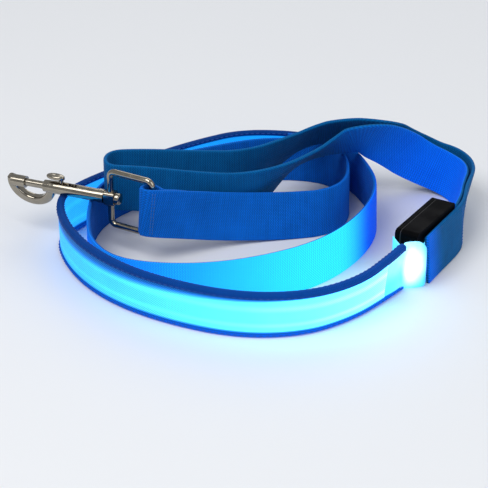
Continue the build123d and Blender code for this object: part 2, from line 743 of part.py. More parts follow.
with BuildPart() as snap_body:
    with BuildSketch(hook_profile):
        with BuildLine():
            Polyline(
                (barrel_start, 0), (barrel_start, collar_radius),
                (barrel_start + collar_length, collar_radius),
                (barrel_start + collar_length, barrel_radius), (barrel_end - barrel_taper[0], barrel_radius),
                (barrel_end, barrel_radius - barrel_taper[1]), (barrel_end, 0), close=True,
            )
        make_face()
    revolve(axis=hook_axis)
    with BuildLine(hook_profile):
        EllipticalCenterArc((eye_middle, 0), eye_half_length, eye_depth, start_angle=180, arc_size=hook_sweep)
    with BuildSketch(Plane(origin=ring_origin + hook_dir * (eye_middle - eye_half_length),
                           x_dir=hook_dir, z_dir=-hook_up)):
        RectangleRounded(hook_wire, hook_wire, hook_corner)
    sweep()
    with BuildSketch(across(socket_face)):
        Circle(nose_radius)
    extrude(amount=eye_middle + eye_half_length - socket_face)
    with BuildSketch(across(socket_face)):
        Circle(bolt_radius + bore_clearance)
    extrude(amount=socket_depth, mode=Mode.SUBTRACT)
    with BuildSketch(across(barrel_start)):
        Circle(bore_radius)
    extrude(amount=bore_end - barrel_start, mode=Mode.SUBTRACT)
    with BuildSketch(across(bore_end)):
        Circle(bolt_radius + bore_clearance)
    extrude(amount=mouth_length, mode=Mode.SUBTRACT)
    slot_front = stem_place + stem_radius + slot_play[0]
    slot_rear = stem_place - bolt_travel - stem_radius - slot_play[1]
    with BuildSketch(hook_top):
        with Locations(((slot_front + slot_rear) / 2, 0)):
            RectangleRounded(slot_front - slot_rear, slot_width, slot_width / 2 - slot_corner_slack)
    extrude(amount=2 * barrel_radius, mode=Mode.SUBTRACT)

with BuildPart() as bolt:
    with BuildSketch(across(shoulder_rear)):
        Circle(bore_radius - bore_clearance)
    extrude(amount=shoulder_length)
    with BuildSketch(across(shoulder_front)):
        Circle(bolt_radius)
    extrude(amount=socket_face + socket_depth - bolt_end_gap - shoulder_front)
    chamfer(bolt.faces().sort_by(hook_axis)[-1].edges(), bolt_chamfer)
    with BuildSketch(hook_top):
        with Locations((stem_place, 0)):
            Circle(stem_radius + press_clearance)
    extrude(amount=2 * barrel_radius, mode=Mode.SUBTRACT)

knob_base = barrel_radius + knob_gap
knob_rear = stem_place - stem_radius - slot_play[0]
knob_front = barrel_end - knob_setback
knob_rear_top = knob_base + knob_rear_step
knob_front_top = knob_base + knob_front_step
stem_foot = 0.1  # above the bolt's axis
with BuildPart() as thumb_knob:
    with BuildSketch(hook_profile):
        with BuildLine():
            Polyline((knob_front, knob_base), (knob_rear, knob_base), (knob_rear, knob_rear_top))
            ThreePointArc(
                (knob_rear, knob_rear_top), (knob_front - knob_crest, knob_height - knob_round),
                (knob_front, knob_front_top),
            )
            Line((knob_front, knob_front_top), (knob_front, knob_base))
        make_face()
    extrude(amount=knob_width / 2, both=True)
    fillet(thumb_knob.edges().filter_by(Axis(ring_origin, hook_profile.z_dir)), knob_round)
    with BuildSketch(hook_top.offset(stem_foot)):
        with Locations((stem_place, 0)):
            Circle(stem_radius)
    extrude(amount=knob_base + knob_gap - stem_foot)

spring_length = shoulder_rear - end_play - spring_start - spring_wire
spring_radius = bore_radius - spring_clearance - spring_wire / 2
with BuildPart() as bolt_spring:
    with BuildLine():
        coil = Helix(
            pitch=spring_length / spring_turns, height=spring_length, radius=spring_radius,
            center=ring_origin + hook_dir * (spring_start + spring_wire / 2), direction=hook_dir,
        )
    with BuildSketch(Plane(origin=coil @ 0, z_dir=coil % 0)):
        Circle(spring_wire / 2)
    sweep(is_frenet=True)

for node, part in {
    "webbing_ring": webbing_ring.part,
    "webbing_fold": webbing_fold.part,
    "webbing_rise": webbing_rise.part,
    "fold_stitching": fold_stitching.part,
    "joint_stitching": joint_stitching.part,
    "light_guide": light_guide.part,
    "outer_mesh": outer_mesh.part,
    "inner_mesh": inner_mesh.part,
    "top_binding": top_binding,
    "bottom_binding": bottom_binding,
    "clear_window": clear_window.part,
    "lamp_board": lamp_board.part,
    "leds": leds.part,
    "led_lead": led_lead.part,
    "case_base": case_base.part,
    "case_gasket": case_gasket.part,
    "case_lid": case_lid.part,
    "case_screws": case_screws.part,
    "circuit_board": circuit_board.part,
    "cell_contact": cell_contact.part,
    "coin_cells": coin_cells.part,
    "cell_clip": cell_clip.part,
    "tact_switch": tact_switch.part,
    "push_button": push_button.part,
    "handle_webbing": handle_webbing.part,
    "handle_stitching": handle_stitching.part,
    "eye_ring": eye_ring.part,
    "swivel_washer": swivel_washer.part,
    "swivel_post": swivel_post.part,
    "snap_body": snap_body.part,
    "bolt": bolt.part,
    "thumb_knob": thumb_knob.part,
    "bolt_spring": bolt_spring.part,
}.items():
    part.label = node
    export_step(part, f"parts/{node}.step")

print("loop radii", [round(r, 1) for r in loop_radii])
print("strip radii", [round(r, 1) for r in strip_radii])
print("ring radii", [round(r, 1) for r in corner_radii(ring_route)])
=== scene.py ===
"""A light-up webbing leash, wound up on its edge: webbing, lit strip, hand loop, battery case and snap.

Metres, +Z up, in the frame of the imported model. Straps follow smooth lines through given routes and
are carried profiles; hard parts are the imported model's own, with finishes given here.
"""
import math

import bpy
import numpy as np
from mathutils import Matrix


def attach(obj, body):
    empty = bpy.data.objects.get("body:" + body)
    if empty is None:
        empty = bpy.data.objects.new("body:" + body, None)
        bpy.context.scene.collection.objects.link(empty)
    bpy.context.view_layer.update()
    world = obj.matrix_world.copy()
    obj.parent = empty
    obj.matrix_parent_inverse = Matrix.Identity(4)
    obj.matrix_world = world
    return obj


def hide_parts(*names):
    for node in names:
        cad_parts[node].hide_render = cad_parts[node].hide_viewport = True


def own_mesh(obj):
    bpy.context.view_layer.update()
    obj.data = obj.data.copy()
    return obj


bl_info = {
    "name": "Light-up webbing leash",
    "version": (1, 0, 0),
    "blender": (4, 5, 0),
    "location": "3D View > Sidebar > Leash",
    "description": "Builds a wound light-up webbing leash with its hand loop, battery case and bolt snap",
    "category": "Add Mesh",
}

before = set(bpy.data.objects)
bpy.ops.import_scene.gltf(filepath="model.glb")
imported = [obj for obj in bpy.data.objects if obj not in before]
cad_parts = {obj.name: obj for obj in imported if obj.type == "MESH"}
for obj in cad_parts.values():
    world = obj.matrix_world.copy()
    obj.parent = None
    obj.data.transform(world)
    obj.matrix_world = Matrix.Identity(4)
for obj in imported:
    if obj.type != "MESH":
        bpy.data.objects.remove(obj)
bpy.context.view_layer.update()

MIDDLE = (-0.00077, 0.01799)  # the middle of the laid-out leash, taken off every route point
STEP = 0.0015  # spacing of a strap's cross-sections along it

# ------------------------ routes
# Each row is a point of a strap's middle line: x, y, height of its lower edge, and how far its top
# leans to the left of its run, in degrees.
STRIP_ROUTE = [
    (0.0878, -0.0200, 0, 0), (0.0830, -0.0216, 0, 0), (0.0770, -0.0217, 0, 1), (0.0695, -0.0330, 0, 5),
    (0.0520, -0.0548, 0, 13), (0.0270, -0.0695, 0, 9), (-0.0060, -0.0700, 0, 6), (-0.0437, -0.0534, 0, 6),
    (-0.0701, -0.0311, 0, 4), (-0.0866, -0.0035, 0, 2), (-0.0935, 0.0260, 0, 0), (-0.0835, 0.0440, 0, 0),
    (-0.0585, 0.0680, 0, 0), (-0.0280, 0.0925, 0, 0), (0.0040, 0.1100, 0, 0), (0.0300, 0.1035, 0, 0),
]
WEBBING_ROUTE = [
    (0.0235, 0.1026, 0, 0), (0.0420, 0.0985, 0, 1), (0.0530, 0.0910, 0, 1), (0.062, 0.074, 0, 0),
    (0.0690, 0.042, 0, -2), (0.0598, 0.010, 0, -2), (0.038, -0.020, 0, 0), (0.006, -0.038, 0, 0),
    (-0.026, -0.045, 0, 0), (-0.059, -0.040, 0, 0), (-0.074, -0.020, 0, 0), (-0.077, 0.008, 0, 0),
    (-0.076, 0.034, 0, 0), (-0.065, 0.055, 0, 0), (-0.044, 0.073, 0, 0), (-0.016, 0.087, 0, 0),
    (0.008, 0.0965, 0, 0), (0.032, 0.0965, 0, 0), (0.048, 0.089, 0, 0), (0.0545, 0.071, 0, 0),
    (0.0532, 0.046, 0, -2), (0.0415, 0.0330, 0, -6), (0.024, 0.0300, 0, -10),
    (0.006, 0.0268, 0.0012, -12), (-0.0104, 0.0212, 0.0040, -10), (-0.0275, 0.0118, 0.0095, -4),
    (-0.0488, 0.0004, 0.0161, 0), (-0.0514, 0.0056, 0.0161, -4), (-0.0460, 0.0100, 0.0150, 0),
    (-0.0415, 0.0076, 0.0136, 0), (-0.0370, 0.0091, 0.0121, -1), (-0.0315, 0.0118, 0.0104, -3),
]
LOOP_ROUTE = [
    (0.0886, -0.0177, 0, 5), (0.0946, -0.0068, 0, 5), (0.1049, 0.0109, 0, 5), (0.1090, 0.0198, 0, 2),
    (0.1100, 0.0270, 0, -4),
    (0.1118, 0.042, 0, -8), (0.1180, 0.065, 0, -14), (0.1135, 0.083, 0, -8), (0.099, 0.0905, 0.002, 2),
    (0.084, 0.086, 0.0112, 12), (0.070, 0.077, 0.0245, 25), (0.055, 0.082, 0.0262, 38),
    (0.036, 0.083, 0.0245, 43), (0.0185, 0.0678, 0.018, 26), (0.000, 0.053, 0.0135, 6),
    (-0.026, 0.052, 0.0135, 0), (-0.052, 0.0495, 0.0155, 0), (-0.0695, 0.047, 0.016, 0),
    (-0.0700, 0.0295, 0.016, 0), (-0.052, 0.030, 0.0152, 0), (-0.024, 0.028, 0.013, 0),
    (-0.002, 0.0275, 0.0125, -5), (0.017, 0.038, 0.0175, -30), (0.032, 0.060, 0.0235, -52),
    (0.048, 0.068, 0.0256, -44), (0.063, 0.0665, 0.0285, -31), (0.078, 0.074, 0.0190, -18),
    (0.092, 0.081, 0.0060, -6), (0.107, 0.078, 0.0005, 5), (0.1145, 0.0640, 0, 13),
    (0.1094, 0.0420, 0, 9), (0.1082, 0.0285, 0, 4), (0.1059, 0.0174, 0, -4),
]

TONGUE_ROUTE = [
    (0.0836, -0.0208, 0.0042, 0), (0.0875, -0.0142, 0.0042, 0), (0.0915, -0.0076, 0.0042, 0),
]
LEAD_ROUTE = [
    (0.0806, -0.0212, 0.0100, 0), (0.0812, -0.0203, 0.0100, 0), (0.0830, -0.0188, 0.0100, 0),
]
# The flap's lower and upper corner at its free edge, then at the strip.
FLAP_CORNERS = (
    ((0.0717, -0.0163, 0.0090), (0.0717, -0.0163, 0.0250)),
    ((0.0770, -0.0216, 0.0060), (0.0770, -0.0216, 0.0212)),
)
FLAP_OUT = (-0.518, -0.855, 0.0)  # level direction in which the flap's middle stands out
FLAP_BULGE = 0.0008

# ------------------------ fixed sizes, in metres
EDGE_ROUND = 0.42  # radius of a strap's edges, as a share of its thickness
THREAD_MARGIN = 0.002  # left free at each end of a long seam
WINDOW_END = 0.0285  # along the strip: where the clear window meets the mesh
TAPE_START = 0.0130  # along the strip: where the edge tapes begin

GUIDE_SECTION = (0.0016, 0.0162, 0.0005)  # each section: thickness, width, corner radius
SKIN_THICK, SKIN_INSET, SKIN_ROUND = 0.0005, 0.0012, 0.0002  # mesh; the inset is off its width
SKIN_OFFSET = 0.0011  # middle of a mesh from the strip's middle
TAPE_HALF, STRIP_HALF = 0.0019, 0.0014  # half thickness over the tapes and between them
TAPE_BACK = 0.0016  # how far a tape reaches onto the strip's inner face
TAPE_BEND = 0.6  # height of a tape's fold, as a share of its half thickness
TAPE_CROWN = 0.0006  # a tape's thickness at its fold
TAPE_THREAD = 0.0006  # from a tape's free edge to its thread
TAPE_WEAVE, TAPE_SHINE = 0.7, 1.5  # its ribs' pitch over the webbing's, its thread's colour over its own

TONGUE_SECTION = (0.0005, 0.0166, 0.0002)
FLAP_THICK = 0.0005
WINDOW_LAP = 0.0004  # how far the window reaches under the mesh
WINDOW_INSET = 0.0002  # its edges inside the strip's
SHOULDER, HEEL = 0.0060, 0.0020  # radii of its upper and lower corner by the case
WINDOW_NOSE = 0.0026  # length over which its end rounds off
WINDOW_STEP, TAPE_GAP = 0.0018, 0.0001  # length of the step between the tapes, and the gap to them
WINDOW_FRONT = 0.0025  # its outer face from the strip's middle
SINK_START, SINK_LENGTH, SINK_DEPTH = 0.018, 0.010, 0.0010  # where that face sinks toward the mesh
WINDOW_BACK = ((0.0, 0.009, 0.013, WINDOW_END), (0.0008, 0.0009, 0.0021, 0.0014))  # its inner face

LAMP_PLACE = 0.0074  # along the strip: the lamp board
BOARD_LENGTH, BOARD_SECTION = 0.0012, (0.0024, 0.0150, 0.0004)
LAMP_LENGTH, LAMP_RADIUS, LAMP_SPACING = 0.0038, 0.0012, 0.0044
LAMP_BARREL, LAMP_FLAT = 0.55, 0.8  # share of its length before the dome; its depth over its height
LEAD_SECTION = (0.0003, 0.0050, 0.0001)

CASE_OUT = (0.855364, -0.518027, 0.0)  # level direction out of the case's front
CASE_ALONG = (0.518027, 0.855364, 0.0)
CASE_CLEARANCE = 0.00015  # between the window and the case

SWIVEL_PLACE = (-0.06533, -0.00009, 0.0286)  # middle of the rivet's boss, on the snap's long axis
HOOK_WAY = (-0.927184, 0.374607, 0.0)  # level direction from the swivel to the hook
UP = (0.0, 0.0, 1.0)
SPRING_START, SPRING_LENGTH = 0.0068, 0.0170  # along the hook's way from the swivel, at rest
SPRING_RADIUS, SPRING_WIRE, SPRING_TURNS = 0.0020, 0.0002, 11  # of the coil, of the wire, its turns
# The thumb piece's rings: height over the bolt's axis, middle from the swivel, half length, half breadth.
KNOB_RINGS = (
    (0.0012, 0.0273, 0.0010, 0.0010), (0.0042, 0.0273, 0.0011, 0.0011), (0.0049, 0.0275, 0.0016, 0.0014),
    (0.0051, 0.0286, 0.0032, 0.0019), (0.0051, 0.0300, 0.0046, 0.0024), (0.0057, 0.0303, 0.0050, 0.0026),
    (0.0066, 0.0303, 0.0049, 0.0025), (0.0071, 0.0303, 0.0039, 0.0018), (0.0072, 0.0303, 0.0020, 0.0010),
    (0.0071, 0.0303, 0.0002, 0.0002),
)

STITCH_COLUMNS = (-0.0102, 0.0103, 0.0017)  # across a strap: start, end and step
ROW_THREAD = 0.0015  # length of a thread in a row across a strap
FOLD_ROWS = (0.6330, 0.6342)  # along the webbing
FOLD_SLANT = 0.16  # how far its rows run along the strap for each step across it
JOINT_ROWS = (0.003, 0.009)  # along the webbing
BOX_ROWS = (0.0410, 0.0430, 0.0565, 0.0585)  # along the hand loop: its sewn box
BOX_SIDES = (-0.0100, 0.0100)  # across it
BOX_RUN = (0.0430, 0.0570, 0.0026)  # start, end and pitch of the box's sides


# ------------------------ settings a user would change
def metres(name, description, default):
    """A length that a user can set."""
    return bpy.props.FloatProperty(name=name, description=description, default=default, subtype="DISTANCE")


def tint(name, description, default):
    """A colour that a user can set."""
    return bpy.props.FloatVectorProperty(name=name, description=description, default=default,
                                         subtype="COLOR", size=3, min=0, max=1)


class LeashSizes(bpy.types.PropertyGroup):
    """Sizes of the soft pieces."""

    webbing_width: metres("Webbing width", "Width of the webbing", 0.025)
    webbing_thickness: metres("Webbing thickness", "Thickness of the webbing", 0.0019)
    rib_pitch: metres("Rib pitch", "Distance between the weave's ribs", 0.00125)
    top_tape: metres("Top tape", "How far the upper edge tape reaches onto the strip", 0.0029)
    bottom_tape: metres("Bottom tape", "How far the lower edge tape reaches onto the strip", 0.0021)
    stitch_pitch: metres("Stitch pitch", "Distance between the middles of two stitches", 0.003)


class LeashColours(bpy.types.PropertyGroup):
    """Colours and light of the pieces."""

    webbing: tint("Webbing", "Colour of the plain webbing", (0.001, 0.120, 0.56))
    loop: tint("Hand loop", "Colour of the hand loop's webbing", (0.0007, 0.110, 0.33))
    binding: tint("Edge tape", "Colour of the lit strip's edge tape", (0.0004, 0.040, 0.21))
    glow_near: tint("Glow at the lamps", "Light of the strip next to the lamps", (0.13, 0.62, 1.0))
    glow_far: tint("Glow at the far end", "Light of the strip at its far end", (0.0, 0.30, 1.0))
    metal: tint("Plating", "Colour of the plated metal", (0.36, 0.325, 0.265))


# ------------------------ lines and surfaces
def vertices_of(mesh):
    """A mesh's vertices as rows."""
    found = np.empty(len(mesh.vertices) * 3)
    mesh.vertices.foreach_get("co", found)
    return found.reshape(-1, 3)


def nurbs_points(points):
    """Points on the smooth line of a route: a second-degree NURBS with the points as its controls."""
    curve = bpy.data.curves.new("line", "CURVE")
    curve.dimensions = "3D"
    spline = curve.splines.new("NURBS")
    spline.points.add(len(points) - 1)
    homogeneous = np.concatenate([np.asarray(points, float), np.ones((len(points), 1))], axis=1)
    spline.points.foreach_set("co", homogeneous.ravel())
    spline.order_u = 3
    spline.use_endpoint_u = True
    spline.resolution_u = 24
    holder = bpy.data.objects.new("line", curve)
    mesh = bpy.data.meshes.new_from_object(holder)
    found = vertices_of(mesh)
    bpy.data.objects.remove(holder)
    bpy.data.curves.remove(curve)
    bpy.data.meshes.remove(mesh)
    return found


def unit(vectors):
    """Vectors divided by their lengths."""
    return vectors / np.linalg.norm(vectors, axis=-1, keepdims=True)


class Run:
    """A strap's middle line with its frame: along it, across its thickness and across its width."""

    def __init__(self, route, width, step=STEP):
        """The line of a route whose rows are x, y, edge height and lean.

        The middle lies half the width above the lower edge, less for the lean: z = edge + w/2 cos(lean).
        The lean is carried along the same kind of line as the points, then both are spaced evenly.
        Directions: t along; n level, z x t; w square to both; n and w are then turned about t by the lean.
        """
        rows = np.asarray(route, float)
        lean = np.radians(rows[:, 3])
        middle = np.stack([rows[:, 0] - MIDDLE[0], rows[:, 1] - MIDDLE[1],
                           rows[:, 2] + width / 2 * np.cos(lean)], axis=1)
        line = nurbs_points(middle)
        leans = nurbs_points(np.stack([lean, 0 * lean, 0 * lean], axis=1))[:, 0]
        travel = np.concatenate([[0], np.cumsum(np.linalg.norm(np.diff(line, axis=0), axis=1))])
        self.length = float(travel[-1])
        self.along = np.linspace(0, self.length, max(8, round(self.length / step)) + 1)
        self.points = np.stack([np.interp(self.along, travel, line[:, k]) for k in range(3)], axis=1)
        lean = np.interp(self.along, travel, leans)[:, None]
        self.t = unit(np.gradient(self.points, axis=0))
        side = unit(np.cross(UP, self.t))
        up = np.cross(self.t, side)
        self.w = up * np.cos(lean) + side * np.sin(lean)
        self.n = side * np.cos(lean) - up * np.sin(lean)

    def cut(self, start, end):
        """The part of the line between two distances along it."""
        part = object.__new__(Run)
        keep = (self.along > start + 1e-5) & (self.along < end - 1e-5)
        part.along = np.concatenate([[start], self.along[keep], [end]])
        part.points, part.t, part.n, part.w = self.at(part.along)
        return part

    def at(self, along):
        """The point and the three directions t, n and w at distances along the line."""
        read = [np.stack([np.interp(along, self.along, values[:, k]) for k in range(3)], axis=1)
                for values in (self.points, self.t, self.n, self.w)]
        return read[0], *(unit(values) for values in read[1:])


def put_mesh(name, vertices, faces, uv=None):
    """A linked object from arrays of vertices and of faces, turned right side out by its volume."""
    vertices = np.asarray(vertices, float)
    faces = np.asarray(faces)
    corners = vertices[faces]
    fan = np.zeros(len(faces))
    for k in range(1, faces.shape[1] - 1):
        fan += np.einsum("ij,ij->i", corners[:, 0], np.cross(corners[:, k], corners[:, k + 1]))
    if fan.sum() < 0:
        faces = faces[:, ::-1]
    mesh = bpy.data.meshes.new(name)
    mesh.from_pydata(vertices, [], faces)
    if uv is not None:
        layer = mesh.uv_layers.new(name="Along")
        layer.data.foreach_set("uv", np.asarray(uv)[faces.ravel()].ravel())
    mesh.shade_smooth()
    mesh.validate()
    piece = bpy.data.objects.new(name, mesh)
    bpy.context.scene.collection.objects.link(piece)
    return piece


def rounded_profile(thickness, width, radius, per_corner=5, flats=8):
    """A closed rounded rectangle: four quarter arcs joined by straight sides, as (across, along width)."""
    turn = np.linspace(0, np.pi / 2, per_corner)
    parts = []
    for quarter, (sx, sy) in enumerate([(1, 1), (-1, 1), (-1, -1), (1, -1)]):
        centre = np.array([sx * (thickness / 2 - radius), sy * (width / 2 - radius)])
        angle = turn + quarter * np.pi / 2
        parts.append(centre + radius * np.stack([np.cos(angle), np.sin(angle)], axis=1))
    ring = []
    for k, arc in enumerate(parts):
        following = parts[(k + 1) % 4]
        ring.append(arc)
        count = flats if k % 2 else 1
        share = np.linspace(0, 1, count + 1)[1:-1, None]
        if len(share):
            ring.append(arc[-1] * (1 - share) + following[0] * share)
    return np.concatenate(ring)


def tube_faces(rows, ring):
    """Four-sided faces between rows of points, each row a closed ring."""
    row = np.arange(rows - 1)[:, None] * ring
    col = np.arange(ring)[None]
    after = (col + 1) % ring
    return np.stack([row + col, row + after, row + ring + after, row + ring + col], axis=-1).reshape(-1, 4)


def loft(name, skin, uv=None):
    """Rings of points, rows x ring x 3, joined in turn and closed by end faces."""
    rows, ring = skin.shape[:2]
    k = np.arange(ring // 2 - 1)
    cap = np.stack([k, k + 1, ring - 2 - k, ring - 1 - k], axis=1)
    faces = np.concatenate([tube_faces(rows, ring), cap[:, ::-1], cap + (rows - 1) * ring])
    return put_mesh(name, skin.reshape(-1, 3), faces, uv)


def rings(run, across, wide):
    """Points round a line, middle + across n + wide w, and their UV: distance along and width."""
    skin = run.points[:, None] + run.n[:, None] * across[..., None] + run.w[:, None] * wide[..., None]
    along = np.broadcast_to(run.along[:, None], wide.shape)
    return skin, np.stack([along, wide], axis=-1).reshape(-1, 2)


def carried(name, run, profile):
    """A profile carried along a line, closed by end faces; each point is marked with its side."""
    across, wide = np.tile(profile, (len(run.along), 1, 1)).transpose(2, 0, 1)
    piece = loft(name, *rings(run, across, wide))
    sides = piece.data.attributes.new("Side", "FLOAT", "POINT")
    sides.data.foreach_set("value", np.sign(across).ravel())
    return piece


def blown(name, run, outer, inner, up, down, square=0.45, ring=36, lift=0.0, guard=None):
    """A closed form along a line, each ring a rounded box with its own four reaches.

    Point = middle + n X c(a) + w (lift + Y s(a)), with c and s the cosine and sine of the angle a to the
    power square, X the outer or inner reach and Y the upper or lower one, each a value per ring.
    """
    angle = np.linspace(0, 2 * np.pi, ring, endpoint=False) + np.pi / ring
    c = np.sign(np.cos(angle)) * np.abs(np.cos(angle)) ** square
    s = np.sign(np.sin(angle)) * np.abs(np.sin(angle)) ** square
    outer, inner, up, down = (np.broadcast_to(value, run.along.shape)[:, None]
                              for value in (outer, inner, up, down))
    across = np.where(c > 0, outer, inner) * c
    wide = lift + np.where(s > 0, up, down) * s
    skin, uv = rings(run, across, wide)
    return loft(name, guard(skin) if guard else skin, uv)


def thumb_piece(name):
    """The snap's thumb piece: an oval cap on a stem, each ring an oval round its own middle.

    Point = swivel + hook (m + X cos a) + side Y sin a + up h, where the middle m, the reaches X and Y and
    the height h follow a smooth line through the rows of KNOB_RINGS.
    """
    rows = np.asarray(KNOB_RINGS)
    high, middle, long = nurbs_points(rows[:, :3]).T[:, :, None]
    broad = nurbs_points(np.stack([rows[:, 3], 0 * rows[:, 3], 0 * rows[:, 3]], axis=1))[:, :1]
    ring = 36
    angle = np.linspace(0, 2 * np.pi, ring, endpoint=False) + np.pi / ring
    hook, up = np.array(HOOK_WAY), np.array(UP)
    skin = (np.array(SWIVEL_PLACE) + (middle + long * np.cos(angle))[..., None] * hook
            + (broad * np.sin(angle))[..., None] * np.cross(up, hook)
            + (high + 0 * angle)[..., None] * up)
    return loft(name, skin)


def coil(name):
    """The bolt's spring: wire of radius r wound round the snap's axis, a ring at each step of the turn a.

    Point = swivel + hook (s + L a / A + r sin b) + (R + r cos b) (up cos a + side sin a), with s the
    coil's start, L its length, R its radius and A the angle of all its turns.
    """
    hook, up = np.array(HOOK_WAY), np.array(UP)
    turn = np.linspace(0, 2 * np.pi * SPRING_TURNS, 20 * SPRING_TURNS + 1)[:, None, None]
    ring = np.linspace(0, 2 * np.pi, 8, endpoint=False)[None, :, None]
    radial = up * np.cos(turn) + np.cross(up, hook) * np.sin(turn)
    run = SPRING_START + SPRING_WIRE + (SPRING_LENGTH - 2 * SPRING_WIRE) * turn / turn.max()
    skin = (np.array(SWIVEL_PLACE) + hook * (run + SPRING_WIRE * np.sin(ring))
            + radial * (SPRING_RADIUS + SPRING_WIRE * np.cos(ring)))
    return loft(name, skin)


def corner_cut(distance, radius):
    """How far a rounded corner cuts in, at a distance d from its end: r - sqrt(r^2 - (r - d)^2)."""
    return radius - np.sqrt(np.clip(radius ** 2 - np.clip(radius - distance, 0, radius) ** 2, 0, None))


def flap_grid():
    """The flap's points between its corners, standing out by bulge sin(pi s), s being 0 to 1 along it."""
    corners = np.array(FLAP_CORNERS) - (*MIDDLE, 0)
    s, t = np.meshgrid(np.linspace(0, 1, 11), np.linspace(0, 1, 11), indexing="ij")
    edges = corners[0][None] * (1 - s[:, :1, None]) + corners[1][None] * s[:, :1, None]
    sheet = edges[:, :1] * (1 - t[..., None]) + edges[:, 1:] * t[..., None]
    return sheet + (np.sin(np.pi * s) * FLAP_BULGE)[..., None] * np.array(FLAP_OUT)


def slab(name, grid, thickness):
    """A thin sheet: a grid of points and its copy, half the thickness to each side, joined round."""
    rows, columns = grid.shape[:2]
    normal = unit(np.cross(np.gradient(grid, axis=0), np.gradient(grid, axis=1)))
    count = rows * columns
    vertices = np.concatenate([(grid + normal * thickness / 2).reshape(-1, 3),
                               (grid - normal * thickness / 2).reshape(-1, 3)])
    index = np.arange(count).reshape(rows, columns)
    quads = np.stack([index[:-1, :-1], index[:-1, 1:], index[1:, 1:], index[1:, :-1]], axis=-1)
    quads = quads.reshape(-1, 4)
    rim = np.concatenate([index[0], index[1:, -1], index[-1, -2::-1], index[-2:0:-1, 0]])
    following = np.roll(rim, -1)
    edge = np.stack([rim, rim + count, following + count, following], axis=1)
    faces = np.concatenate([quads, quads[:, ::-1] + count, edge])
    return put_mesh(name, vertices, faces)


def stitches(name, centres, along, out, length=0.0020, width=0.0005, proud=0.0003):
    """Threads on a face, each most of an egg that sits in it.

    Point = centre + L/2 cos(a) along + W/2 sin(a) cos(b) side + P sin(a) sin(b) out.
    """
    a = np.linspace(0, np.pi, 7)
    b = np.linspace(-0.25 * np.pi, 1.25 * np.pi, 7)
    grid_a, grid_b = np.meshgrid(a, b, indexing="ij")
    side = np.cross(along, out)
    shape = grid_a.size
    vertices = (centres[:, None]
                + along[:, None] * (length / 2 * np.cos(grid_a)).reshape(1, shape, 1)
                + side[:, None] * (width / 2 * np.sin(grid_a) * np.cos(grid_b)).reshape(1, shape, 1)
                + out[:, None] * (proud * np.sin(grid_a) * np.sin(grid_b)).reshape(1, shape, 1))
    offsets = np.arange(len(centres))[:, None, None] * shape
    faces = (tube_faces(len(a), len(b))[None] + offsets).reshape(-1, 4)
    return put_mesh(name, vertices.reshape(-1, 3), faces)


def seam(name, run, offsets, face, pitch, start=None, end=None):
    """Rows of stitches along one face of a strap, at the widths offsets.

    face is the side it is on, 1 left or -1 right of the run, and how far it lies from the middle.
    """
    start = run.along[0] + THREAD_MARGIN if start is None else start
    end = run.along[-1] - THREAD_MARGIN if end is None else end
    where = np.arange(start, end, pitch)
    middle, t, n, w = run.at(where)
    centres = np.concatenate([middle + w * offset + n * face[0] * face[1] for offset in offsets])
    count = len(offsets)
    return stitches(name, centres, np.tile(t, (count, 1)), np.tile(n * face[0], (count, 1)))


# ------------------------ finishes
PAINTED_LIGHT_FAR, PAINTED_LIGHT_NEAR = (0.0, 0.07, 1.0), (0.035, 0.86, 1.0)  # painted light from the strip on the webbing, far and near
PAINTED_LOOP_LIGHT = (0.0007, 0.0858, 1.0)  # painted light from the strip on the hand loop, and below on the two tapes
PAINTED_TOP_TAPE_LIGHT, PAINTED_BOTTOM_TAPE_LIGHT = (0.0042, 0.1648, 1.0), (0.0035, 0.149, 1.0)
RIM_BLUE = (0.0, 0.11, 1.0)  # light at the edges of the lit band
MESH_PITCH = 0.0011
BAND_TOP = 0.0104  # the lit band's upper edge, from the strip's middle
MESH_STREAKS = ((0.0038, 0.0026), (-0.0056, 0.0020))  # brighter lines in it: height and half width
PAINTED_SPOT_PLACE = (0.0084, 0.0004)  # painted spot of the lamps' light in the window: along the strip, over its middle
PAINTED_SPOT_REACH = (0.0072, 0.0112)
BRIGHT_STEEL = (0.62, 0.62, 0.63)


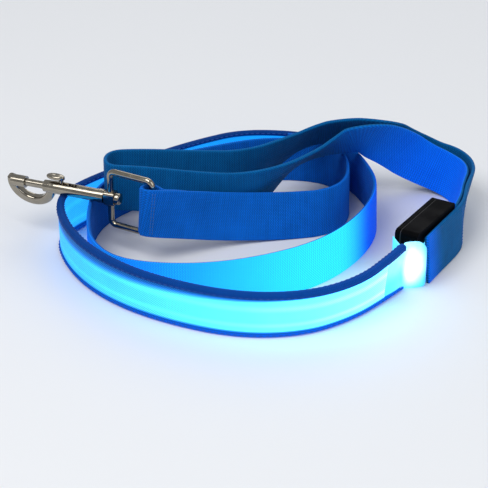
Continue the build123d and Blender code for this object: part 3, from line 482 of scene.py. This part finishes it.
class Nodes:
    """A short way to write a material's nodes."""

    def __init__(self, name):
        self.material = bpy.data.materials.new(name)
        self.material.use_nodes = True
        self.tree = self.material.node_tree
        self.tree.nodes.clear()
        self.output = self.tree.nodes.new("ShaderNodeOutputMaterial")
        self.shader = self.tree.nodes.new("ShaderNodeBsdfPrincipled")
        self.tree.links.new(self.shader.outputs["BSDF"], self.output.inputs["Surface"])

    def node(self, kind, inputs=None, **settings):
        """A node with its settings, and its inputs set or linked."""
        made = self.tree.nodes.new(kind)
        for key, value in settings.items():
            setattr(made, key, value)
        for key, value in (inputs or {}).items():
            self.feed(made.inputs[key], value)
        return made

    def feed(self, socket, value):
        """Links or sets an input; a colour gets its alpha."""
        if isinstance(value, bpy.types.NodeSocket):
            self.tree.links.new(value, socket)
        else:
            is_colour = isinstance(value, tuple) and len(value) == 3
            socket.default_value = (*value, 1) if is_colour else value

    def math(self, operation, *values):
        """The result of a Math node."""
        return self.node("ShaderNodeMath", dict(enumerate(values)), operation=operation).outputs[0]

    def mix(self, share, low, high):
        """A colour between two, by a share."""
        return self.node("ShaderNodeMix", {0: share, 6: low, 7: high}, data_type="RGBA").outputs[2]

    def set(self, **values):
        """Values or links on the main shader's sockets; underscores stand for spaces."""
        for key, value in values.items():
            self.feed(self.shader.inputs[key.replace("_", " ")], value)

    def along(self):
        """The piece's own along and across distances, from its UV map, in metres."""
        uv = self.node("ShaderNodeUVMap", uv_map="Along")
        parts = self.node("ShaderNodeSeparateXYZ", {0: uv.outputs[0]})
        return uv.outputs[0], parts.outputs[0], parts.outputs[1]

    def place(self):
        """The piece's own coordinates."""
        return self.node("ShaderNodeTexCoord").outputs["Object"]

    def noise(self, vector, scale, detail=2.0):
        """Soft noise from 0 to 1."""
        made = self.node("ShaderNodeTexNoise", {"Vector": vector, "Scale": scale, "Detail": detail})
        return made.outputs["Fac"]

    def ramp(self, value, low, high, low_to=0.0, high_to=1.0, smooth=True):
        """A value carried from one range to another and held at its ends."""
        kind = "SMOOTHSTEP" if smooth else "LINEAR"
        made = self.node("ShaderNodeMapRange", {0: value, 1: low, 2: high, 3: low_to, 4: high_to},
                         interpolation_type=kind)
        return made.outputs[0]

    def bump(self, height, distance, strength):
        """A bump normal from a height of 0 to 1."""
        made = self.node("ShaderNodeBump", {"Height": height, "Distance": distance, "Strength": strength})
        return made.outputs[0]

    def wave(self, value, pitch):
        """0 to 1 and back once per pitch: (1 + cos(2 pi value / pitch)) / 2."""
        angle = self.math("MULTIPLY", value, 2 * math.pi / pitch)
        return self.math("MULTIPLY_ADD", self.math("COSINE", angle), 0.5, 0.5)


def woven(name, colour, pitch, painted_light):
    """Ribbed webbing: ribs across it, fine threads along each rib, and a firm edge.

    painted_light gives, from the nodes and the distance along, how much painted light from the strip the
    face gets and that light's colour.
    """
    m = Nodes(name)
    uv, u, v = m.along()
    step = m.math("MULTIPLY", m.wave(v, pitch * 1.1), pitch / 2)
    rib = m.wave(m.math("ADD", u, step), pitch)
    fine = m.wave(v, pitch * 0.55)
    height = m.math("MULTIPLY_ADD", rib, 0.7, m.math("MULTIPLY", fine, 0.3))
    blotch = m.noise(uv, 90.0)
    across = m.node("ShaderNodeCombineXYZ", {0: m.math("MULTIPLY", u, 900.0),
                                             1: m.math("MULTIPLY", v, 40.0)})
    streak = m.noise(across.outputs[0], 1.0)
    fuzz = m.noise(uv, 2600.0, 3.0)
    # colour follows the ribs' height: painted shade in the grooves between ribs, plus random tone from
    # fuzz, blotches and streaks
    groove_shade_and_tone = m.math("MULTIPLY_ADD", height, 0.50, m.math("MULTIPLY", fuzz, 0.22))
    groove_shade_and_tone = m.math("MULTIPLY_ADD", blotch, 0.30, groove_shade_and_tone)
    groove_shade_and_tone = m.math("MULTIPLY_ADD", streak, 0.26, groove_shade_and_tone)
    dark = tuple(c * 0.52 for c in colour)
    light = tuple(min(1.0, c * 1.40 + 0.001) for c in colour)
    edge = m.ramp(m.math("ABSOLUTE", v), 0.0119, 0.0125)
    base = m.mix(m.math("MULTIPLY", edge, 0.5), m.mix(m.ramp(groove_shade_and_tone, 0.25, 1.05), dark, light),
                 tuple(c * 0.9 for c in colour))
    m.set(Base_Color=base, Roughness=m.ramp(fuzz, 0.3, 0.7, 0.55, 0.75),
          Normal=m.bump(m.math("MULTIPLY_ADD", fuzz, 0.25, height), 0.00022, 0.9),
          Sheen_Weight=0.02, Sheen_Roughness=0.5, Specular_IOR_Level=0.05)
    level, light_colour = painted_light(m, u)
    # painted light from the strip, as emission, stronger on the ribs' tops
    lit = m.math("MULTIPLY", level, m.math("MULTIPLY_ADD", height, 0.55, 0.62))
    m.set(Emission_Color=light_colour, Emission_Strength=lit)
    return m.material


def side_of(m):
    """Which face of its strap a point is on: 1 on the left of the run, -1 on the right."""
    return m.node("ShaderNodeAttribute", attribute_name="Side").outputs["Fac"]


def painted_strip_light_on_webbing(m, u):
    """Painted light on the face that looks at the strip across the front, strongest next to the lamps."""
    rise = m.ramp(u, 0.060, 0.135, 0.10, 1.0)
    fall = m.ramp(u, 0.150, 0.350, 1.0, 0.05)
    level = m.math("MULTIPLY", rise, fall)
    near = m.math("MULTIPLY", m.ramp(u, 0.105, 0.140), m.ramp(u, 0.150, 0.270, 1.0, 0.25))
    glow = m.mix(near, PAINTED_LIGHT_FAR, PAINTED_LIGHT_NEAR)
    return m.math("MULTIPLY", level, m.ramp(side_of(m), 0.2, 0.9)), glow


def painted_strip_light_on_loop(m, u):
    """Painted light on the hand loop's right face: next to the window, and where its end looks at the
    strip.
    """
    level = m.math("ADD", m.ramp(u, 0.440, 0.520, 0.0, 0.60), m.ramp(u, 0.0, 0.018, 0.50, 0.0))
    return m.math("MULTIPLY", level, m.ramp(side_of(m), -0.2, -0.9)), PAINTED_LOOP_LIGHT


def painted_strip_light_on_top_tape(m, u):
    """The little painted light from the strip on the upper tape."""
    return m.ramp(u, 0.02, 0.30, 0.16, 0.03), PAINTED_TOP_TAPE_LIGHT


def painted_strip_light_on_bottom_tape(m, u):
    """The painted light from the strip on the lower tape, more than on the upper one."""
    return m.ramp(u, 0.02, 0.34, 0.75, 0.30), PAINTED_BOTTOM_TAPE_LIGHT


def lit_mesh(name, colours, length, shaded=True):
    """Mesh over the light guide: a bright band with two streaks, falling off along the strip.

    Where it is shaded, the upper part of the band fades, and the fade widens along the strip.
    """
    m = Nodes(name)
    uv, u, v = m.along()
    far = m.ramp(u, WINDOW_END, length, 0.0, 1.0, smooth=False)
    glow = m.mix(m.math("POWER", far, 0.42), tuple(colours.glow_near), tuple(colours.glow_far))
    hole = m.math("MULTIPLY", m.wave(m.math("ADD", u, v), MESH_PITCH),
                  m.wave(m.math("SUBTRACT", u, v), MESH_PITCH))
    full = m.ramp(u, 0.050, 0.240, 0.0086, 0.0012) if shaded else 0.0098
    top = m.math("DIVIDE", m.math("SUBTRACT", BAND_TOP, v), m.math("SUBTRACT", BAND_TOP, full))
    rim = m.math("MULTIPLY", m.ramp(top, 0.0, 1.0), m.ramp(v, -0.0108, -0.0086))
    glow = m.mix(rim, RIM_BLUE, glow)
    band = m.math("MULTIPLY_ADD", m.math("POWER", rim, 2.4), 0.96, 0.04)
    streaks = [m.ramp(m.math("ABSOLUTE", m.math("SUBTRACT", v, middle)), 0.0, half, 1.0, 0.0)
               for middle, half in MESH_STREAKS]
    streak = m.math("MULTIPLY", m.math("ADD", *streaks), m.ramp(u, WINDOW_END, 0.22, 0.55, 0.18))
    level = m.math("ADD", streak, 0.80)
    level = m.math("MULTIPLY", level, m.math("MULTIPLY_ADD", hole, 0.60, 0.62))
    level = m.math("MULTIPLY", level, m.math("MULTIPLY_ADD", m.noise(uv, 60.0), 0.3, 0.85))
    level = m.math("MULTIPLY", level, band)
    nearness = m.math("POWER", m.math("SUBTRACT", 1.0, far), 2.6)
    level = m.math("MULTIPLY", level, m.math("MULTIPLY_ADD", nearness, 4.8, 1.25))
    if not shaded:
        glow = m.mix(0.30, glow, (0.02, 0.55, 1.0))
    m.set(Base_Color=m.mix(hole, (0.002, 0.09, 0.40), (0.010, 0.33, 0.70)), Roughness=0.5,
          Normal=m.bump(m.math("SUBTRACT", 1.0, hole), 0.00015, 0.6),
          Emission_Color=glow, Emission_Strength=level, Specular_IOR_Level=0.1)
    return m.material


def plated(name, colour):
    """Nickel plate: clear reflections, a faint cast grain and finger marks in the roughness."""
    m = Nodes(name)
    place = m.place()
    smear = m.noise(place, 260.0, 3.0)
    grain = m.noise(place, 1500.0, 2.0)
    m.set(Base_Color=m.mix(m.ramp(smear, 0.3, 0.7), tuple(c * 0.86 for c in colour), colour),
          Metallic=1.0, Roughness=m.ramp(smear, 0.3, 0.75, 0.08, 0.18),
          Normal=m.bump(m.math("MULTIPLY_ADD", grain, 0.4, smear), 0.00003, 0.5))
    return m.material


def moulded(name, colour, roughness, level=0.5):
    """Moulded plastic, rubber or thread with a fine grain."""
    m = Nodes(name)
    place = m.place()
    fine = m.noise(place, 2700.0, 3.0)
    broad = m.noise(place, 120.0, 2.0)
    light = tuple(min(1, c * 1.25) for c in colour)
    m.set(Base_Color=m.mix(broad, tuple(c * 0.8 for c in colour), light),
          Roughness=m.ramp(broad, 0.3, 0.7, roughness - 0.06, roughness + 0.08),
          Normal=m.bump(fine, 0.00004, 0.6), Specular_IOR_Level=level)
    return m.material


def vinyl(name, painted_spot=None):
    """Clear soft vinyl with painted light from the lamps inside it, as emission.

    painted_spot is the place, along and across, of the lamps behind it: a painted white oval spot of light
    there, paler above it and bluer at the window's end. Without it the vinyl gets a faint even painted
    glow.
    """
    m = Nodes(name)
    ripple = m.noise(m.place(), 220.0, 1.0)
    m.set(Base_Color=(0.06, 0.48, 0.80), Roughness=0.10, IOR=1.5, Transmission_Weight=0.30,
          Normal=m.bump(ripple, 0.0002, 0.35), Coat_Weight=0.6, Coat_Roughness=0.05)
    if not painted_spot:
        # painted glow on the tongue and the flap, which are no lamps
        m.set(Emission_Color=(0.20, 0.85, 1.0), Emission_Strength=m.math("MULTIPLY_ADD", ripple, 0.5, 0.30))
        return m.material
    u, v = m.along()[1:]
    # painted light: the lamps' white spot on the window, as emission
    x = m.math("DIVIDE", m.math("SUBTRACT", u, painted_spot[0]), PAINTED_SPOT_REACH[0])
    y = m.math("DIVIDE", m.math("SUBTRACT", v, painted_spot[1]), PAINTED_SPOT_REACH[1])
    away = m.math("SQRT", m.math("ADD", m.math("MULTIPLY", x, x), m.math("MULTIPLY", y, y)))
    core = m.ramp(away, 1.30, 0.45)
    pale = m.mix(m.ramp(v, -0.004, 0.006), (0.07, 0.78, 1.0), (0.40, 0.95, 1.0))
    pale = m.mix(m.ramp(u, 0.0, 0.0042), (0.0, 0.34, 1.0), pale)
    level = m.math("MULTIPLY_ADD", core, 0.60, m.math("MULTIPLY_ADD", ripple, 0.40, 0.58))
    m.set(Emission_Color=m.mix(core, pale, (0.97, 1.0, 0.98)),
          Emission_Strength=m.math("MULTIPLY", level, m.ramp(away, 2.6, 1.0, 0.8, 1.0)))
    return m.material


def lamp(name):
    """A lit lamp: plain white light."""
    m = Nodes(name)
    warm = m.noise(m.place(), 300.0)
    m.set(Base_Color=(0.9, 0.97, 1.0), Roughness=0.3,
          Emission_Color=m.mix(warm, (0.8, 0.97, 1.0), (1, 1, 1)), Emission_Strength=2.5)
    return m.material


def dress(material, *nodes):
    """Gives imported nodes' objects a finish in each of their slots."""
    for node in nodes:
        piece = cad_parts[node]
        if not piece.data.materials:
            piece.data.materials.append(material)
        for k in range(len(piece.data.materials)):
            piece.data.materials[k] = material


def keep(piece, material, body, slot_name, *nodes):
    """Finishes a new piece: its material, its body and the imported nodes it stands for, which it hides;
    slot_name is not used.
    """
    piece.data.materials.append(material)
    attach(piece, body)
    if nodes:
        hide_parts(*nodes)
    return piece


def strap_profile(sizes):
    """The profile of the plain webbing and of the hand loop."""
    thickness = sizes.webbing_thickness
    return rounded_profile(thickness, sizes.webbing_width, thickness * EDGE_ROUND)


# ------------------------ operators
class LEASH_OT_webbing(bpy.types.Operator):
    """Builds the plain webbing, from its joint with the lit strip to the fold round the eye ring"""

    bl_idname = "leash.webbing"
    bl_label = "Plain webbing"

    def execute(self, context):
        sizes = context.scene.leash_sizes
        run = Run(WEBBING_ROUTE, sizes.webbing_width)
        colour = tuple(context.scene.leash_colours.webbing)
        cloth = woven("blue_webbing", colour, sizes.rib_pitch, painted_strip_light_on_webbing)
        strap = keep(carried("webbing", run, strap_profile(sizes)), cloth, "leash", "blue_webbing",
                     "webbing_ring", "webbing_rise", "webbing_fold")
        return {"FINISHED"}


class LEASH_OT_hand_loop(bpy.types.Operator):
    """Builds the hand loop's webbing, from the case round the loop to its sewn end"""

    bl_idname = "leash.hand_loop"
    bl_label = "Hand loop"

    def execute(self, context):
        sizes = context.scene.leash_sizes
        run = Run(LOOP_ROUTE, sizes.webbing_width)
        colour = tuple(context.scene.leash_colours.loop)
        cloth = woven("loop_webbing", colour, sizes.rib_pitch, painted_strip_light_on_loop)
        strap = keep(carried("hand_loop", run, strap_profile(sizes)), cloth, "leash", "teal_webbing",
                     "handle_webbing")
        return {"FINISHED"}


class LEASH_OT_lit_strip(bpy.types.Operator):
    """Builds the lit strip: light guide, two meshes, edge tapes and their seams"""

    bl_idname = "leash.lit_strip"
    bl_label = "Lit strip"

    def execute(self, context):
        sizes = context.scene.leash_sizes
        colours = context.scene.leash_colours
        run = Run(STRIP_ROUTE, sizes.webbing_width)
        lit = run.cut(WINDOW_END, run.length)
        glow = lit_mesh("lit_mesh", colours, run.length)
        guide = carried("glow_guide", lit, rounded_profile(*GUIDE_SECTION))
        parts = [keep(guide, glow, "leash", "lit_guide", "light_guide")]
        skins = []
        inner_glow = lit_mesh("inner_lit_mesh", colours, run.length, shaded=False)
        for side, node, cloth in ((-1, "inner_mesh", inner_glow), (1, "outer_mesh", glow)):
            skin = rounded_profile(SKIN_THICK, sizes.webbing_width - SKIN_INSET, SKIN_ROUND)
            skin[:, 0] += side * SKIN_OFFSET
            skins.append(keep(carried(node + "_cloth", lit, skin), cloth, "leash", "reflective_mesh", node))
        parts.append(skins[0])
        thread = moulded("tape_thread", tuple(c * TAPE_SHINE for c in colours.binding), 0.6)
        taped = run.cut(TAPE_START, run.length)
        for edge, node, width, painted_light in (
                (1, "top_binding", sizes.top_tape, painted_strip_light_on_top_tape),
                (-1, "bottom_binding", sizes.bottom_tape, painted_strip_light_on_bottom_tape)):
            tape = woven(node + "_weave", tuple(colours.binding), sizes.rib_pitch * TAPE_WEAVE, painted_light)
            profile = tape_profile(sizes.webbing_width / 2, width, edge)
            parts.append(keep(carried(node + "_tape", taped, profile), tape, "leash", "edge_binding", node))
            for side, name, reach in ((1, "outer", width), (-1, "inner", TAPE_BACK)):
                offsets = (edge * (sizes.webbing_width / 2 - reach + TAPE_THREAD),)
                threads = seam(f"{node}_thread_{name}", taped, offsets, (side, TAPE_HALF),
                               sizes.stitch_pitch)
                parts.append(keep(threads, thread, "leash", "thread"))
        return {"FINISHED"}


def tape_profile(top, width, edge):
    """A tape folded over one edge, shorter on the strip's inner face: an outer U and an inner U joined."""
    foot = top - width
    back_foot = top - min(width, TAPE_BACK)
    turn = np.linspace(0, np.pi, 9)
    outer_bend, inner_bend = (
        np.stack([half * np.cos(turn), crown - half * TAPE_BEND + half * TAPE_BEND * np.sin(turn)], axis=1)
        for half, crown in ((TAPE_HALF, top), (STRIP_HALF, top - TAPE_CROWN)))
    outline = np.concatenate([[[TAPE_HALF, foot]], outer_bend, [[-TAPE_HALF, back_foot]],
                              [[-STRIP_HALF, back_foot]], inner_bend[::-1], [[STRIP_HALF, foot]]])
    outline[:, 1] *= edge
    return outline


def clear_of_case(points):
    """Points inside the case's near corner are moved out through the nearer of its front and its end."""
    corners = vertices_of(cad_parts["case_base"].data)
    out, along = np.array(CASE_OUT), np.array(CASE_ALONG)
    front = points @ out - (corners @ out).max() - CASE_CLEARANCE
    end = (corners @ along).min() - CASE_CLEARANCE - points @ along
    inside = (front < 0) & (end < 0)
    through_front = (inside & (front >= end))[..., None]
    through_end = (inside & (front < end))[..., None]
    return points - through_front * front[..., None] * out + through_end * end[..., None] * along


class LEASH_OT_window(bpy.types.Operator):
    """Builds the clear window with its tongue and flap, and the lamps, their board and their lead"""

    bl_idname = "leash.window"
    bl_label = "Window and lamps"

    def execute(self, context):
        sizes = context.scene.leash_sizes
        run = Run(STRIP_ROUTE, sizes.webbing_width, step=0.0005).cut(0.0, WINDOW_END + WINDOW_LAP)
        u = run.along
        half = sizes.webbing_width / 2 - WINDOW_INSET
        under = np.clip((u - TAPE_START + WINDOW_STEP) / WINDOW_STEP, 0, 1)
        up = half - corner_cut(u, SHOULDER) - under * (sizes.top_tape + TAPE_GAP)
        down = half - corner_cut(u, HEEL) - under * (sizes.bottom_tape + TAPE_GAP)
        nose = np.sqrt(np.clip(1 - (1 - np.clip(u / WINDOW_NOSE, 0, 1)) ** 2, 0.02, 1))
        sink = np.clip((u - SINK_START) / SINK_LENGTH, 0, 1)
        outer = WINDOW_FRONT * nose - SINK_DEPTH * sink ** 2
        inner = np.interp(u, *WINDOW_BACK) * nose
        window = blown("window", run, outer, inner, up, down, guard=clear_of_case)
        keep(window, vinyl("clear_vinyl", PAINTED_SPOT_PLACE), "leash", "clear_vinyl", "clear_window")
        film = vinyl("vinyl_edge")
        tongue = Run(TONGUE_ROUTE, TONGUE_SECTION[1])
        keep(carried("window_tongue", tongue, rounded_profile(*TONGUE_SECTION)), film, "leash",
             "clear_vinyl")
        keep(slab("window_flap", flap_grid(), FLAP_THICK), film, "leash", "clear_vinyl")
        place = LAMP_PLACE + BOARD_LENGTH
        board = run.cut(LAMP_PLACE, place)
        keep(carried("lamp_plate", board, rounded_profile(*BOARD_SECTION)),
             moulded("lamp_board_white", (0.75, 0.78, 0.78), 0.4), "leash", "board_green", "lamp_board")
        lens = lamp("lamp_lens")
        dome = run.cut(place, place + LAMP_LENGTH)
        past = ((dome.along - place) / LAMP_LENGTH - LAMP_BARREL) / (1 - LAMP_BARREL)
        reach = LAMP_RADIUS * np.sqrt(1 - np.clip(past, 0, 0.995) ** 2)
        flat = reach * LAMP_FLAT
        for k in (-1, 0, 1):
            body = blown(f"lamp_{k + 2}", dome, flat, flat, reach, reach, square=1.0, ring=20,
                         lift=k * LAMP_SPACING)
            keep(body, lens, "leash", "led", *(["leds"] if k == 0 else []))
        lead = Run(LEAD_ROUTE, LEAD_SECTION[1], step=0.0003)
        keep(carried("lamp_lead", lead, rounded_profile(*LEAD_SECTION)),
             moulded("lead_film", (0.55, 0.30, 0.06), 0.35), "leash", "black_rubber", "led_lead")
        return {"FINISHED"}


class LEASH_OT_case(bpy.types.Operator):
    """Gives the battery case, its button and what is inside it their finishes"""

    bl_idname = "leash.case"
    bl_label = "Battery case"

    def execute(self, context):
        dress(moulded("case_black", (0.0012, 0.0012, 0.0018), 0.55, level=0.03), "case_base", "case_lid")
        dress(moulded("button_rubber", (0.03, 0.03, 0.032), 0.7), "push_button", "case_gasket")
        dress(moulded("board_green", (0.01, 0.16, 0.05), 0.35), "circuit_board")
        dress(moulded("switch_grey", (0.10, 0.10, 0.11), 0.4), "tact_switch")
        dress(plated("bright_steel", BRIGHT_STEEL), "case_screws", "coin_cells", "cell_clip",
              "cell_contact")
        return {"FINISHED"}


class LEASH_OT_metal(bpy.types.Operator):
    """Makes the snap's thumb piece and spring, and gives the eye ring and the snap their plating"""

    bl_idname = "leash.metal"
    bl_label = "Ring and snap"

    def execute(self, context):
        nickel = plated("nickel_plate", tuple(context.scene.leash_colours.metal))
        dress(nickel, "eye_ring", "swivel_washer", "swivel_post", "snap_body", "bolt")
        keep(thumb_piece("thumb_piece"), nickel, "bolt_group", "nickel", "thumb_knob")
        steel = plated("spring_steel", BRIGHT_STEEL)
        spring = keep(coil("coil_spring"), steel, "snap", "steel", "bolt_spring")
        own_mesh(spring)
        return {"FINISHED"}


class LEASH_OT_seams(bpy.types.Operator):
    """Sews the fold round the ring, the joint with the lit strip and the hand loop's end"""

    bl_idname = "leash.seams"
    bl_label = "Seams"

    def execute(self, context):
        sizes = context.scene.leash_sizes
        thread = moulded("blue_thread", (0.02, 0.14, 0.45), 0.6)
        wide = np.arange(*STITCH_COLUMNS)
        face = sizes.webbing_thickness / 2
        webbing = Run(WEBBING_ROUTE, sizes.webbing_width)
        loop = Run(LOOP_ROUTE, sizes.webbing_width)
        for name, run, side, rows, slant, node in (
                ("fold_seam", webbing, 1, FOLD_ROWS, FOLD_SLANT, "fold_stitching"),
                ("joint_seam", webbing, 1, JOINT_ROWS, 0.0, "joint_stitching"),
                ("joint_seam_inside", webbing, -1, JOINT_ROWS, 0.0, None),
                ("loop_seam", loop, -1, BOX_ROWS, 0.0, "handle_stitching")):
            threads = cross_seam(name, run, wide, side, face, rows, slant)
            keep(threads, thread, "leash", "thread", *([node] if node else []))
        start, end, pitch = BOX_RUN
        sides = seam("loop_seam_sides", loop, BOX_SIDES, (-1, face), pitch, start, end)
        keep(sides, thread, "leash", "thread")
        return {"FINISHED"}


def cross_seam(name, run, offsets, side, lift, rows, slant):
    """Rows of stitches across a strap at distances along it, each thread lying across the strap.

    A thread at the width y lies slant y further along than its row's middle.
    """
    offset = np.tile(np.asarray(offsets, float), len(rows))
    where = np.repeat(np.asarray(rows, float), len(offsets)) + slant * offset
    middle, _, n, w = run.at(where)
    centres = middle + w * offset[:, None] + n * side * lift
    return stitches(name, centres, w, n * side, length=ROW_THREAD)


# ------------------------ stage
FLOOR_HALF = 3.0
CAMERA_ELEVATION = 28.0
CAMERA_DISTANCE = 0.900
CAMERA_TARGET = (-MIDDLE[0], -MIDDLE[1], 0.012)
CAMERA_LENS = 135.0


def soft_lamp(name, place, size, power):
    """A square area lamp at a place, turned to the middle of the floor."""
    data = bpy.data.lights.new(name, "AREA")
    data.shape = "SQUARE"
    data.size = size
    data.energy = power
    holder = bpy.data.objects.new(name, data)
    bpy.context.scene.collection.objects.link(holder)
    x, y, z = place
    holder.location = place
    holder.rotation_euler = (math.atan2(math.hypot(x, y), z), 0, math.atan2(x, -y))


class LEASH_OT_stage(bpy.types.Operator):
    """Makes the floor, the lights, the world and the camera"""

    bl_idname = "leash.stage"
    bl_label = "Stage"

    def execute(self, context):
        scene = context.scene
        corners = FLOOR_HALF * np.array([(-1, -1, 0), (1, -1, 0), (1, 1, 0), (-1, 1, 0)])
        floor = put_mesh("floor", corners, np.array([[0, 1, 2, 3]]))
        paper = Nodes("pale_paper")
        paper.set(Base_Color=(0.80, 0.81, 0.83), Roughness=0.9, Specular_IOR_Level=0.1)
        floor.data.materials.append(paper.material)
        soft_lamp("key_lamp", (-0.5, -0.5, 1.1), 0.8, 9.0)
        soft_lamp("fill_lamp", (0.9, -0.7, 0.8), 1.0, 5.0)
        soft_lamp("back_lamp", (0.2, 1.1, 0.9), 0.9, 4.0)
        world = bpy.data.worlds.new("studio")
        scene.world = world
        world.use_nodes = True
        ground = world.node_tree.nodes["Background"]
        ground.inputs["Color"].default_value = (0.85, 0.88, 0.92, 1)
        ground.inputs["Strength"].default_value = 0.45
        camera = bpy.data.cameras.new("camera")
        camera.lens = CAMERA_LENS
        camera.sensor_width = 36.0
        camera.clip_start = 0.05
        camera.dof.use_dof = False
        holder = bpy.data.objects.new("camera", camera)
        scene.collection.objects.link(holder)
        rise = math.radians(CAMERA_ELEVATION)
        holder.location = (CAMERA_TARGET[0], CAMERA_TARGET[1] - CAMERA_DISTANCE * math.cos(rise),
                           CAMERA_TARGET[2] + CAMERA_DISTANCE * math.sin(rise))
        holder.rotation_euler = (math.pi / 2 - rise, 0, 0)
        scene.camera = holder
        scene.view_settings.view_transform = "Standard"
        return {"FINISHED"}


OPERATORS = (LEASH_OT_webbing, LEASH_OT_hand_loop, LEASH_OT_lit_strip, LEASH_OT_window, LEASH_OT_case,
             LEASH_OT_metal, LEASH_OT_seams, LEASH_OT_stage)


class LEASH_PT_panel(bpy.types.Panel):
    """Lists the leash's sizes, colours and pieces"""

    bl_label = "Leash"
    bl_idname = "LEASH_PT_panel"
    bl_space_type = "VIEW_3D"
    bl_region_type = "UI"
    bl_category = "Leash"

    def draw(self, context):
        for group in (context.scene.leash_sizes, context.scene.leash_colours):
            box = self.layout.box()
            for key in group.bl_rna.properties.keys():
                if key not in ("rna_type", "name"):
                    box.prop(group, key)
        for operator in OPERATORS:
            self.layout.operator(operator.bl_idname)


CLASSES = (LeashSizes, LeashColours, *OPERATORS, LEASH_PT_panel)


def register():
    """Registers the classes and the scene's settings."""
    for item in CLASSES:
        bpy.utils.register_class(item)
    bpy.types.Scene.leash_sizes = bpy.props.PointerProperty(type=LeashSizes)
    bpy.types.Scene.leash_colours = bpy.props.PointerProperty(type=LeashColours)


def unregister():
    """Takes the classes and the scene's settings away."""
    del bpy.types.Scene.leash_sizes
    del bpy.types.Scene.leash_colours
    for item in reversed(CLASSES):
        bpy.utils.unregister_class(item)


def main():
    register()
    for operator in OPERATORS:
        group, name = operator.bl_idname.split(".")
        getattr(getattr(bpy.ops, group), name)()


if __name__ == "__main__":
    main()
